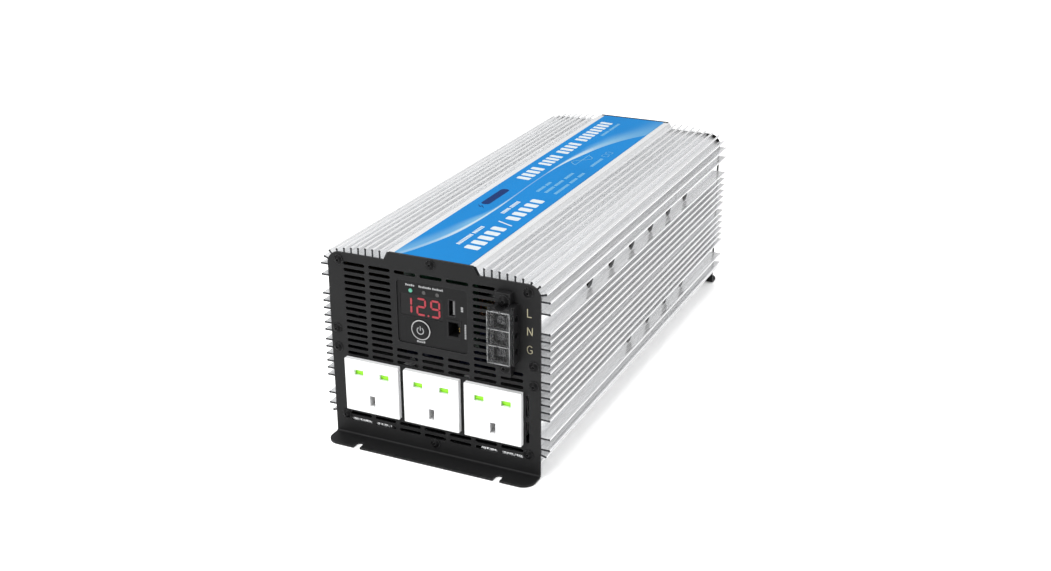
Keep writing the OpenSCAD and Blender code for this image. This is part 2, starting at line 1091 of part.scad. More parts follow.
module fan_rotor() {
    color([0.13, 0.13, 0.14]) {
        difference() {
            rod_y(hub_r, fan_y0 + 4.5, fan_y0 + fan_t - 2.5);
            rod_y(hub_r - 2, fan_y0 + 4, fan_y0 + fan_t - 4.5);
        }
        rod_y(1.5, fan_y0 + 2, fan_y0 + fan_t - 4.5 + eps);
        for (k = [0 : blade_count - 1]) {
            rotate([0, k * 360 / blade_count, 0])
                intersection() {
                    difference() {
                        rod_y(blade_r, fan_y0 + 5, fan_y0 + fan_t - 3);
                        rod_y(hub_r - 0.5, fan_y0 + 4, fan_y0 + fan_t - 2);
                    }
                    translate([0, fan_y0 + fan_t / 2 + 1, hub_r])
                        rotate([0, 0, 38])
                            block([-12, -0.7, -4], [12, 0.7, 24]);
                }
        }
    }
}

module fan_frame_left() {
    translate([-fan_x, 0, fan_z])
        fan_frame();
}

module fan_frame_right() {
    translate([fan_x, 0, fan_z])
        fan_frame();
}

module fan_rotor_left() {
    translate([-fan_x, 0, fan_z])
        fan_rotor();
}

module fan_rotor_right() {
    translate([fan_x, 0, fan_z])
        fan_rotor();
}

// Wire finger guard: rings on four legs that end in eyes at the corner screws
module fan_guard() {
    wire_r = 0.8;
    leg_r = 1.1;
    leg_l = 36.5;
    ring_y = rear_y + 4.2;
    eye_r = fan_hole_pitch / 2 * sqrt(2);
    color("silver") {
        for (r = [8, 15, 22, 29]) {
            translate([0, ring_y, 0])
                rotate([90, 0, 0])
                    rotate_extrude()
                        translate([r, 0])
                            circle(wire_r);
        }
        for (a = [45, 135, 225, 315]) {
            rotate([0, a, 0]) {
                translate([0, ring_y - wire_r, 7])
                    cylinder(r = leg_r, h = leg_l - 7 + leg_r);
                translate([0, 0, leg_l])
                    rod_y(leg_r - 0.05, rear_y + 0.02, ring_y - 0.5);
                translate([-leg_r, rear_y, leg_l])
                    cube([2 * leg_r, 1.4, eye_r - leg_l - 3.2]);
                translate([0, 0, eye_r])
                    difference() {
                        rod_y(3.9, rear_y, rear_y + 1.6);
                        rod_y(screw_clear_r, rear_y - cut, rear_y + 3);
                    }
            }
        }
    }
}

module fan_guard_left() {
    translate([-fan_x, 0, fan_z])
        fan_guard();
}

module fan_guard_right() {
    translate([fan_x, 0, fan_z])
        fan_guard();
}

module fan_screws() {
    color("silver")
        for (s = [-1, 1], x = [-1, 1], z = [-1, 1]) {
            translate([s * fan_x + x * fan_hole_pitch / 2, rear_y + 1.6, fan_z + z * fan_hole_pitch / 2])
                mirror([0, 1, 0])
                    button_screw(screw_shank_r, 12);
        }
}

// ---------- battery terminals ----------

module collar() {
    difference() {
        union() {
            rod_y(collar_r, rear_y, rear_y + collar_t);
            rod_y(collar_r - 4.2, shell_y1 - 2, rear_y + eps);
            rod_y(collar_r - 1, shell_y1 - 8, shell_y1 - 0.2);
        }
        rod_y(stud_r + 0.2, shell_y1 - 9, rear_y + collar_t + cut);
        translate([0, rear_y + collar_t, 0])
            rotate([90, 0, 0])
                rotate_extrude()
                    translate([collar_r, -1.2])
                        square(1.4);
    }
}

module collar_positive() {
    color("firebrick")
        translate([stud_x, 0, stud_z])
            collar();
}

module collar_negative() {
    color([0.1, 0.1, 0.1])
        translate([-stud_x, 0, stud_z])
            collar();
}

module battery_studs() {
    // The thread in the nut is drawn at its core, and the free end at its full radius
    stud_free_y0 = rear_y + collar_t + washer_t + nut_t;
    color("goldenrod")
        for (x = [-stud_x, stud_x]) {
            translate([x, 0, stud_z]) {
                rod_y(stud_core_r, shell_y1 - stud_head_back, stud_free_y0 + eps);
                rod_y(stud_r, stud_free_y0, rear_y + stud_reach - stud_chamfer);
                translate([0, rear_y + stud_reach, 0])
                    rotate([90, 0, 0])
                        cylinder(r1 = stud_r - stud_chamfer, r2 = stud_r, h = stud_chamfer);
                plate(shell_y1 - stud_head_back, stud_head_t)
                    circle(stud_head_r, $fn = 6);
            }
        }
}

module battery_washers() {
    color("gainsboro")
        for (x = [-stud_x, stud_x]) {
            translate([x, 0, stud_z])
                difference() {
                    rod_y(washer_r, rear_y + collar_t, rear_y + collar_t + washer_t);
                    rod_y(stud_r + 0.3, rear_y, rear_y + collar_t + washer_t + cut);
                }
        }
}

module battery_nuts() {
    y0 = rear_y + collar_t + washer_t;
    color("gainsboro")
        for (x = [-stud_x, stud_x]) {
            translate([x, 0, stud_z])
                difference() {
                    plate(y0, nut_t)
                        circle(nut_flats / 2 / cos(30), $fn = 6);
                    rod_y(stud_core_r + 0.05, y0 - cut, y0 + nut_t + cut);
                }
        }
}

module ground_screw() {
    color("silver")
        translate([0, 0, stud_z]) {
            rod_y(2.5, shell_y1 - 8, rear_y + 4);
            difference() {
                rod_y(6, rear_y, rear_y + 1.2);
                rod_y(2.4, rear_y - cut, rear_y + 2);
            }
            plate(rear_y + 1.2, 3.5)
                circle(4.6, $fn = 6);
        }
}

module busbars() {
    bar_t = 3;
    bar_w = 22;
    color("chocolate")
        for (x = [-stud_x, stud_x]) {
            translate([x, 0, 0])
                difference() {
                    union() {
                        block([-bar_w / 2, shell_y1 - 11, deck_z + 0.2], [bar_w / 2, shell_y1 - 8, stud_z + 12]);
                        block([-bar_w / 2, board_y1 - 16, deck_z + 0.2], [bar_w / 2, shell_y1 - 10, deck_z + 0.2 + bar_t]);
                    }
                    translate([0, 0, stud_z])
                        rod_y(stud_r + 0.2, shell_y1 - 12, shell_y1 - 7);
                }
        }
}

// ---------- inner assembly ----------

module main_board() {
    color("darkgreen")
        difference() {
            block([-board_w / 2, board_y0, board_z], [board_w / 2, board_y1, deck_z]);
            for (x = [-standoff_x, standoff_x], y = standoff_y) {
                translate([x, y, board_z - cut])
                    cylinder(r = 1.8, h = board_t + 2 * cut);
            }
        }
}

module standoffs() {
    color("khaki")
        for (x = [-standoff_x, standoff_x], y = standoff_y) {
            translate([x, y, floor_z])
                difference() {
                    cylinder(r = 3.4, h = board_z - floor_z, $fn = 6);
                    translate([0, 0, 2])
                        cylinder(r = 1.55, h = board_z);
                }
        }
}

module board_screws() {
    color("silver")
        for (x = [-standoff_x, standoff_x], y = standoff_y) {
            translate([x, y, deck_z]) {
                cylinder(r = 3, h = 1.9);
                translate([0, 0, -7])
                    cylinder(r = 1.5, h = 7 + eps);
            }
        }
}

transformer_places = [for (x = [-26, 26], y = [10, 70]) [x, y]];
core_w = 44;
core_d = 28;
core_h = 42;

module transformer_cores() {
    color([0.2, 0.2, 0.21])
        for (p = transformer_places) {
            translate([p[0], p[1], deck_z + 3])
                difference() {
                    translate([-core_w / 2, -core_d / 2, 0])
                        cube([core_w, core_d, core_h]);
                    for (x = [-1, 1]) {
                        translate([x * 11.5, 0, core_h / 2])
                            cube([9, core_d + 2, core_h - 14], center = true);
                    }
                }
        }
}

module transformer_windings() {
    color([0.75, 0.55, 0.15])
        for (p = transformer_places) {
            translate([p[0], p[1], deck_z + 3 + core_h / 2])
                linear_extrude(core_h - 16, center = true)
                    difference() {
                        rounded(30.6, core_d + 16, 7);
                        square([14.4, core_d + 0.4], center = true);
                    }
        }
}

choke_places = [[-38, -62], [38, -62]];
choke_r = 24;
choke_h = 20;

module choke_cores() {
    color([0.55, 0.5, 0.2])
        for (p = choke_places) {
            translate([p[0], p[1], deck_z + 4.5])
                difference() {
                    cylinder(r = choke_r, h = choke_h);
                    translate([0, 0, -cut])
                        cylinder(r = choke_r - 10, h = choke_h + 2 * cut);
                }
        }
}

module choke_windings() {
    gap = 0.3;
    wire = 3;
    color([0.72, 0.42, 0.2])
        for (p = choke_places) {
            translate([p[0], p[1], deck_z + 4.5 + choke_h / 2])
                rotate(105)
                    rotate_extrude(angle = 330)
                        translate([choke_r - 5, 0])
                            difference() {
                                square([10 + 2 * (gap + wire), choke_h + 2 * (gap + wire)], center = true);
                                square([10 + 2 * gap, choke_h + 2 * gap], center = true);
                            }
        }
}

// Upright electrolytic capacitor with a rolled groove
module capacitor(r, h) {
    rotate_extrude()
        polygon([
            [0, 0], [r - 0.8, 0], [r, 0.8], [r, 3], [r - 0.8, 3.6], [r, 4.2],
            [r, h - 0.8], [r - 0.8, h], [0, h]
        ]);
}

module bus_capacitors() {
    color([0.12, 0.14, 0.3])
        for (x = [-48, 0, 48]) {
            translate([x, board_y0 + 36, deck_z + 0.2])
                capacitor(17.5, 50);
        }
}

module input_capacitors() {
    color([0.1, 0.2, 0.15])
        for (i = [0 : 4], y = [board_y1 - 62, board_y1 - 40]) {
            translate([(i - 2) * 21, y, deck_z + 0.2])
                capacitor(9, 38);
        }
}

// Power transistors along both side walls, under a clamp bar
transistor_y0 = front_y + 52;
transistor_count = 7;
transistor_pitch = 19;
strip_x = shell_w - wall_t - 0.7;

module transistors() {
    color([0.1, 0.1, 0.1])
        for (s = [-1, 1], k = [0 : transistor_count - 1]) {
            translate([s * (strip_x - 2.9), transistor_y0 + k * transistor_pitch, 47])
                cube([5, 15.8, 20], center = true);
        }
}

module insulating_strips() {
    color("lightsteelblue")
        for (s = [-1, 1]) {
            translate([s * strip_x, transistor_y0 + (transistor_count - 1) * transistor_pitch / 2, 47])
                cube([0.5, transistor_count * transistor_pitch + 2, 24], center = true);
        }
}

module clamp_bars() {
    color("slategray")
        for (s = [-1, 1]) {
            translate([s * (strip_x - 7.2), transistor_y0 + (transistor_count - 1) * transistor_pitch / 2, 50])
                cube([3, transistor_count * transistor_pitch, 9], center = true);
        }
}

fuse_pitch = 9;

module fuses() {
    color("orange")
        for (i = [0 : 5]) {
            translate([(i - 2.5) * fuse_pitch, board_y1 - 20, deck_z + 0.2]) {
                translate([-3.5, -9.5, 0])
                    cube([7, 19, 8]);
                translate([-2, -9.2, 8])
                    cube([4, 18.4, 7]);
            }
        }
}

// ---------- assembly ----------

upper_shell();
lower_shell();
front_panel();
rear_panel();
top_label();
front_panel_screws();
rear_panel_screws();
socket_left();
socket_middle();
socket_right();
socket_housings();
shutter_left();
shutter_middle();
shutter_right();
contacts_left();
contacts_middle();
contacts_right();
control_bezel();
display_body();
display_segments();
led_power();
led_warning();
button_ring();
power_button();
usb_shell();
usb_tongue();
remote_jack();
control_board();
terminal_block();
terminal_cover();
terminal_screws();
terminal_clamps();
block_screws();
fan_frame_left();
fan_frame_right();
fan_rotor_left();
fan_rotor_right();
fan_guard_left();
fan_guard_right();
fan_screws();
collar_positive();
collar_negative();
battery_studs();
battery_nuts();
battery_washers();
ground_screw();
busbars();
main_board();
standoffs();
board_screws();
transformer_cores();
transformer_windings();
choke_cores();
choke_windings();
bus_capacitors();
input_capacitors();
transistors();
insulating_strips();
clamp_bars();
fuses();
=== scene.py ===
"""Looks for the mains power inverter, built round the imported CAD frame.

Blender's unit is the metre. Numbers in millimetres are scaled by MM where they are used.
"""

import json
import math

import bmesh
import bpy
from mathutils import Matrix, Vector


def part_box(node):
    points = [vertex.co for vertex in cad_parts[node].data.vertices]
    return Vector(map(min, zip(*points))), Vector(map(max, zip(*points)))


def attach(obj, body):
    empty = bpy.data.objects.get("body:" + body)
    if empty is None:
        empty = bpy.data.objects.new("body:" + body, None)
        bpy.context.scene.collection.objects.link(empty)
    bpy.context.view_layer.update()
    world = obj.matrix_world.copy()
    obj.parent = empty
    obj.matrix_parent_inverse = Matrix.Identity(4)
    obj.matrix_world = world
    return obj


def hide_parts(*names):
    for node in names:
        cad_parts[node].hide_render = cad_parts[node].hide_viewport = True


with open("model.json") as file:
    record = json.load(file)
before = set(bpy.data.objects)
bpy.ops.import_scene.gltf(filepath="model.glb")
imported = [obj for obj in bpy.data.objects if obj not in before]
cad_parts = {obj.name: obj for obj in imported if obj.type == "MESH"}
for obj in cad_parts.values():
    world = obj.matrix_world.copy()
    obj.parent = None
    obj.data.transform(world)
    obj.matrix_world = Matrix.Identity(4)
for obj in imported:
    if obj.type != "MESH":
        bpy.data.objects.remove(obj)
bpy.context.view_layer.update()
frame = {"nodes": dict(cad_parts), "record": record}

MM = 0.001
CASE = "case"

# section of the extrusions, in millimetres from the middle plane and the parting plane
SHELL_TOP, SIDE_ROOT, PLATEAU_HALF = 68.65, 87.0, 40.0
TOP_FIN_X0, TOP_FIN_PITCH, TOP_FINS = 42.9, 6.15, 6
TOP_TIP, TOP_TIP_FALL = 77.05, 0.0028
CORNER_X, CORNER_H, CORNER_R = 77.5, 60.65, 8.0
CORNER_FINS = (77.0, 46.0, 16.5)
CORNER_TIP, CORNER_TIP_GAIN = 12.6, 0.045
SIDE_FINS = [4.1 + 6.05 * k for k in range(6)] + [49.85, 58.9]
FIN_T, BULB_R = 1.4, 0.95
# ridges on the fins: spacing, height, half width, distance of the first one from the root, depth sunk
# into the fin, and how far they stop short of the sawn ends
RIDGE_PITCH, RIDGE_H, RIDGE_HALF, RIDGE_START, RIDGE_SINK = 1.25, 0.22, 0.34, 0.9, 0.05
RIDGE_INSET = 0.1

# ---------- places that come from the CAD ----------


def centre(node):
    lo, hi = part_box(node)
    return (lo + hi) / 2


shell_lo, shell_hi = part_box("upper_shell")
lower_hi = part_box("lower_shell")[1]
SHELL_Y0, SHELL_Y1 = shell_lo.y, shell_hi.y
MID_Z = (shell_lo.z + lower_hi.z) / 2
TIP_X = shell_hi.x / MM
PLATE_T = 1.5 * MM
FRONT_Y = SHELL_Y0 - PLATE_T
REAR_Y = SHELL_Y1 + PLATE_T
BEZEL_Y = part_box("control_bezel")[0].y
BUTTON_MID = centre("power_button")

# ---------- meshes ----------


def add_piece(name, verts, faces, material, body):
    """A mesh in the row frame that rides on a CAD body."""
    mesh = bpy.data.meshes.new(name)
    mesh.from_pydata([tuple(v) for v in verts], [], faces)
    mesh.update()
    bm = bmesh.new()
    bm.from_mesh(mesh)
    bmesh.ops.recalc_face_normals(bm, faces=bm.faces)
    bm.to_mesh(mesh)
    bm.free()
    mesh.materials.append(material)
    piece = bpy.data.objects.new(name, mesh)
    bpy.context.scene.collection.objects.link(piece)
    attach(piece, body)
    return piece


class Shapes:
    """Collects solids for one piece."""

    def __init__(self):
        self.verts = []
        self.faces = []

    def add(self, verts, faces):
        base = len(self.verts)
        self.verts += [Vector(v) for v in verts]
        self.faces += [tuple(base + i for i in f) for f in faces]

    def prism(self, outline, lift):
        """A solid between a flat outline and the same outline moved by lift."""
        n = len(outline)
        low = [Vector(p) for p in outline]
        high = [p + Vector(lift) for p in low]
        sides = [(i, (i + 1) % n, n + (i + 1) % n, n + i) for i in range(n)]
        self.add(low + high, [tuple(range(n)), tuple(range(n, 2 * n)), *sides])

    def box(self, lo, hi):
        x0, y0, z0 = lo
        x1, y1, z1 = hi
        self.prism([(x0, y0, z0), (x1, y0, z0), (x1, y1, z0), (x0, y1, z0)], (0, 0, z1 - z0))

    def soft_box(self, lo, hi, cut):
        """A box with its edges cut off."""
        bm = bmesh.new()
        bmesh.ops.create_cube(bm, size=1)
        size = [hi[i] - lo[i] for i in range(3)]
        mid = Vector([(hi[i] + lo[i]) / 2 for i in range(3)])
        for v in bm.verts:
            v.co = Vector([v.co[i] * size[i] for i in range(3)]) + mid
        bmesh.ops.bevel(bm, geom=list(bm.edges), offset=cut, segments=2, affect="EDGES", profile=0.6)
        bm.verts.index_update()
        self.add([v.co.copy() for v in bm.verts], [[v.index for v in f.verts] for f in bm.faces])
        bm.free()

    def lathe(self, profile, origin, axis, steps=48):
        """A (radius, distance) profile turned round an axis, with a flat cap over its first and last ring."""
        axis = Vector(axis).normalized()
        side = axis.orthogonal().normalized()
        other = axis.cross(side)
        rings = []
        for r, d in profile:
            ring = []
            for k in range(steps):
                a = 2 * math.pi * k / steps
                ring.append(Vector(origin) + axis * d + (side * math.cos(a) + other * math.sin(a)) * r)
            rings.append(ring)
        verts = [v for ring in rings for v in ring]
        faces = []
        count = len(profile)
        for i in range(count - 1):
            for k in range(steps):
                j = (k + 1) % steps
                faces.append((i * steps + k, i * steps + j, (i + 1) * steps + j, (i + 1) * steps + k))
        faces.append(tuple(range(steps)))
        faces.append(tuple((count - 1) * steps + k for k in range(steps)))
        self.add(verts, faces)

    def piece(self, name, material, body, slot):
        return add_piece(name, self.verts, self.faces, material, body)


def stroke(points, width, closed=False):
    """Outlines of the flat bars that draw a line through 2-D points, each running a little past its ends."""
    parts = []
    pairs = list(zip(points, points[1:] + points[:1])) if closed else list(zip(points, points[1:]))
    for a, b in pairs:
        a, b = Vector(a), Vector(b)
        d = (b - a).normalized() * width / 2
        n = Vector((-d.y, d.x))
        parts.append([a - d * 0.6 + n, a - d * 0.6 - n, b + d * 0.6 - n, b + d * 0.6 + n])
    return parts


def arc(cx, cy, r, a0, a1, steps):
    """Points of an arc between two angles in degrees."""
    angles = [math.radians(a0 + (a1 - a0) * k / steps) for k in range(steps + 1)]
    return [(cx + r * math.cos(a), cy + r * math.sin(a)) for a in angles]


def rounded(w, h, r, steps=5):
    """Outline of a rectangle with round corners about the origin."""
    x, y = w / 2 - r, h / 2 - r
    out = []
    for cx, cy, a in ((x, y, 0), (-x, y, 90), (-x, -y, 180), (x, -y, 270)):
        out += arc(cx, cy, r, a, a + 90, steps)
    return out


# ---------- materials ----------


def new_material(name):
    m = bpy.data.materials.new(name)
    m.use_nodes = True
    return m, m.node_tree, m.node_tree.nodes["Principled BSDF"]


def coords(nt, stretch):
    """Object coordinates multiplied by stretch, one number or three, in cycles per metre."""
    if isinstance(stretch, float):
        stretch = (stretch,) * 3
    tex = nt.nodes.new("ShaderNodeTexCoord")
    mapping = nt.nodes.new("ShaderNodeMapping")
    mapping.inputs["Scale"].default_value = stretch
    nt.links.new(tex.outputs["Object"], mapping.inputs["Vector"])
    return mapping.outputs["Vector"]


def noise(nt, stretch, detail=3.0, rough=0.55):
    """Noise about 0.5, finer with a larger stretch."""
    n = nt.nodes.new("ShaderNodeTexNoise")
    n.inputs["Scale"].default_value = 1.0
    n.inputs["Detail"].default_value = detail
    n.inputs["Roughness"].default_value = rough
    nt.links.new(coords(nt, stretch), n.inputs["Vector"])
    return n.outputs["Fac"]


def remap(nt, value, low, high, start=0.3, end=0.7):
    """The value's stretch from start to end laid onto low to high, and held level outside it."""
    r = nt.nodes.new("ShaderNodeMapRange")
    r.inputs["From Min"].default_value = start
    r.inputs["From Max"].default_value = end
    r.inputs["To Min"].default_value = low
    r.inputs["To Max"].default_value = high
    nt.links.new(value, r.inputs["Value"])
    return r.outputs["Result"]


def maths(nt, op, *values, clamp=False):
    """A maths node on numbers or sockets."""
    n = nt.nodes.new("ShaderNodeMath")
    n.operation = op
    n.use_clamp = clamp
    for v, socket in zip(values, n.inputs):
        if isinstance(v, (int, float)):
            socket.default_value = v
        else:
            nt.links.new(v, socket)
    return n.outputs["Value"]


def vector_maths(nt, op, *values):
    """A vector maths node on vectors or sockets."""
    n = nt.nodes.new("ShaderNodeVectorMath")
    n.operation = op
    for v, socket in zip(values, n.inputs):
        if isinstance(v, (tuple, Vector)):
            socket.default_value = v
        else:
            nt.links.new(v, socket)
    return n.outputs["Value" if op in ("LENGTH", "DOT_PRODUCT") else "Vector"]


def axes(nt, kind):
    """The X, Y and Z of a texture coordinate of the given kind."""
    tex = nt.nodes.new("ShaderNodeTexCoord")
    parts = nt.nodes.new("ShaderNodeSeparateXYZ")
    nt.links.new(tex.outputs[kind], parts.inputs["Vector"])
    return parts.outputs


def blend_colour(nt, factor, a, b):
    """Colour a where the factor is 0 and b where it is 1."""
    n = nt.nodes.new("ShaderNodeMix")
    n.data_type = "RGBA"
    nt.links.new(factor, n.inputs["Factor"])
    for key, v in (("A", a), ("B", b)):
        socket = next(s for s in n.inputs if s.name == key and s.type == "RGBA")
        if isinstance(v, (tuple, list)):
            socket.default_value = (*v[:3], 1.0)
        else:
            nt.links.new(v, socket)
    return next(s for s in n.outputs if s.type == "RGBA")


def bump(nt, shader, height, depth):
    """Relief of the given depth in metres."""
    n = nt.nodes.new("ShaderNodeBump")
    n.inputs["Distance"].default_value = depth
    n.inputs["Strength"].default_value = 1.0
    nt.links.new(height, n.inputs["Height"])
    nt.links.new(n.outputs["Normal"], shader.inputs["Normal"])


def shade(c, k):
    """A colour made darker or lighter by the factor k."""
    return tuple(min(1.0, x * k) for x in c)


def edge_mask(nt, radius):
    """1 along edges, 0 on flat faces, from how far a rounded normal leans from the true one."""
    bevel = nt.nodes.new("ShaderNodeBevel")
    bevel.samples = 4
    bevel.inputs["Radius"].default_value = radius
    geometry = nt.nodes.new("ShaderNodeNewGeometry")
    lean = vector_maths(nt, "DOT_PRODUCT", bevel.outputs["Normal"], geometry.outputs["True Normal"])
    return remap(nt, lean, 1.0, 0.0, 0.86, 0.985)


def finish(
    name,
    base,
    rough,
    metal=0.0,
    spec=0.5,
    vary=0.12,
    patch=60.0,
    grain=2200.0,
    depth=0.02,
    rough_vary=0.08,
    coat=0.0,
    edge=None,
    edge_colour=None,
):
    """A solid finish: broad colour patches, fine grain in roughness and bump, and edges lightened, partly as
    wear and partly as painted highlight.
    """
    m, nt, b = new_material(name)
    b.inputs["Metallic"].default_value = metal
    b.inputs["Specular IOR Level"].default_value = spec
    b.inputs["Coat Weight"].default_value = coat
    b.inputs["Coat Roughness"].default_value = 0.1
    patches = noise(nt, patch, 4.0)
    fine = noise(nt, grain, 2.0)
    colour = blend_colour(nt, remap(nt, patches, 0, 1), shade(base, 1 - vary), shade(base, 1 + vary))
    colour = blend_colour(nt, remap(nt, fine, 0, vary * 1.6), colour, shade(base, 0.55))
    roughness = remap(nt, fine, rough - rough_vary, rough + rough_vary)
    if edge:
        # edges lightened towards edge_colour: partly wear, partly painted highlight
        wear_and_highlight = maths(nt, "MULTIPLY", edge_mask(nt, edge * MM), remap(nt, patches, 0.35, 1.0))
        colour = blend_colour(nt, wear_and_highlight, colour, edge_colour or shade(base, 2.0))
        roughness = maths(nt, "SUBTRACT", roughness, maths(nt, "MULTIPLY", wear_and_highlight, rough * 0.35))
    nt.links.new(colour, b.inputs["Base Color"])
    nt.links.new(roughness, b.inputs["Roughness"])
    bump(nt, b, fine, depth * MM)
    return m


def aluminium():
    """Clear anodised extrusion: lines drawn along it, soft cloudiness, marks on the sawn ends, and painted
    shade on the fin ends, the hollow inside and the fin undersides.
    """
    m, nt, b = new_material("anodised_aluminium_look")
    b.inputs["Metallic"].default_value = 0.70
    b.inputs["Specular IOR Level"].default_value = 0.5
    drawn = noise(nt, (1700.0, 6.0, 1700.0), 2.0, 0.5)
    cloud = noise(nt, (34.0, 9.0, 34.0), 3.0)
    colour = blend_colour(nt, remap(nt, drawn, 0, 1), (0.85, 0.855, 0.865), (0.96, 0.965, 0.97))
    colour = blend_colour(nt, remap(nt, cloud, 0, 0.12), colour, (0.74, 0.745, 0.76))
    place = axes(nt, "Object")
    normal = axes(nt, "Normal")
    across = maths(nt, "ABSOLUTE", place["X"])
    rise = maths(nt, "SUBTRACT", place["Z"], MID_Z)
    # distance outwards from the lines that the round corners are drawn about
    past_side = maths(nt, "MAXIMUM", maths(nt, "SUBTRACT", across, CORNER_X * MM), 0.0)
    past_top = maths(nt, "SUBTRACT", maths(nt, "ABSOLUTE", rise), CORNER_H * MM)
    corner = nt.nodes.new("ShaderNodeCombineXYZ")
    nt.links.new(past_side, corner.inputs["X"])
    nt.links.new(maths(nt, "MAXIMUM", past_top, 0.0), corner.inputs["Y"])
    reach = vector_maths(nt, "LENGTH", corner.outputs["Vector"])
    # sawn ends: marked walls, and fin ends beyond the walls painted near black as painted shade
    facing_end = remap(nt, maths(nt, "ABSOLUTE", normal["Y"]), 0, 1, 0.85, 0.97)
    past_wall = remap(nt, reach, 0, 1, (CORNER_R + 0.1) * MM, (CORNER_R + 0.6) * MM)
    fin_end_shade = maths(nt, "MULTIPLY", facing_end, past_wall)
    sawn = remap(nt, noise(nt, (1500.0, 60.0, 60.0), 2.0), 0, 1, 0.42, 0.58)
    colour = blend_colour(nt, maths(nt, "MULTIPLY", facing_end, sawn), colour, (0.06, 0.06, 0.062))
    colour = blend_colour(nt, fin_end_shade, colour, (0.022, 0.023, 0.025))
    # the hollow inside of the case is painted near black as painted shade
    within = remap(nt, reach, 1, 0, (CORNER_R - 1.2) * MM, (CORNER_R - 0.9) * MM)
    facing_in = maths(nt, "MULTIPLY", normal["Z"], maths(nt, "SIGN", rise))
    near_middle = remap(nt, across, 1, 0, PLATEAU_HALF * MM, (PLATEAU_HALF + 0.2) * MM)
    under_plateau = maths(nt, "MULTIPLY", remap(nt, facing_in, 0, 1, -0.4, -0.5), near_middle)
    inside_shade = maths(nt, "MAXIMUM", within, under_plateau)
    not_end = maths(nt, "SUBTRACT", 1.0, facing_end)
    colour = blend_colour(nt, maths(nt, "MULTIPLY", inside_shade, not_end), colour, (0.012, 0.012, 0.013))
    # undersides of the level fins are painted darker as painted shade
    underside_shade = remap(nt, normal["Z"], 0.0, 0.6, -0.1, -0.8)
    outside = remap(nt, across, 0, 1, (SIDE_ROOT - 0.4) * MM, SIDE_ROOT * MM)
    colour = blend_colour(nt, maths(nt, "MULTIPLY", underside_shade, outside), colour, (0.26, 0.265, 0.27))
    nt.links.new(colour, b.inputs["Base Color"])
    rough = maths(nt, "ADD", remap(nt, drawn, 0.15, 0.24), maths(nt, "MULTIPLY", fin_end_shade, 0.35))
    nt.links.new(rough, b.inputs["Roughness"])
    bump(nt, b, drawn, 0.006 * MM)
    return m


# control points of the pale sweep on the label: distance from the front and x of its edge,
# width and strength of the bright line, width and strength of the soft lobe
SWEEP = [
    (0, -25.0, 6.0, 0.20, 16.0, 0.34),
    (30, -14.2, 5.4, 0.36, 19.0, 0.30),
    (60, -7.3, 5.2, 0.72, 17.0, 0.30),
    (90, -4.9, 3.4, 0.80, 12.0, 0.42),
    (112, -4.2, 2.9, 0.82, 6.0, 0.30),
    (132, -4.2, 2.4, 0.80, 3.5, 0.20),
    (155, -4.8, 1.7, 0.60, 2.5, 0.05),
    (190, -5.6, 1.6, 0.46, 2.5, 0.0),
    (222, -5.5, 1.7, 0.60, 2.5, 0.05),
    (250, -4.0, 3.0, 0.88, 4.5, 0.20),
    (290, 2.4, 7.2, 0.72, 10.0, 0.22),
    (312, 7.0, 9.0, 0.30, 15.0, 0.34),
    (332, 13.2, 10.0, 0.12, 18.0, 0.42),
    (350, 20.5, 12.0, 0.05, 24.0, 0.34),
    (372, 33.0, 14.0, 0.0, 30.0, 0.30),
    (418, 60.0, 20.0, 0.0, 52.0, 0.20),
]
SWEEP_L = 418.0
SWEEP_X = (-30.0, 60.0)
SWEEP_W = 60.0
LABEL_BLUE = (0.0035, 0.148, 0.392)
SWEEP_PALE = (0.44, 0.50, 0.52)
SWEEP_TEAL = (0.26, 0.44, 0.47)


def curve_of(nt, t, points):
    """A smooth function of t through (t, value) points, both from 0 to 1."""
    n = nt.nodes.new("ShaderNodeFloatCurve")
    c = n.mapping.curves[0]
    while len(c.points) > 2:
        c.points.remove(c.points[1])
    c.points[0].location = points[0]
    c.points[-1].location = points[-1]
    for p in points[1:-1]:
        c.points.new(*p)
    n.mapping.update()
    nt.links.new(t, n.inputs["Value"])
    return n.outputs["Value"]


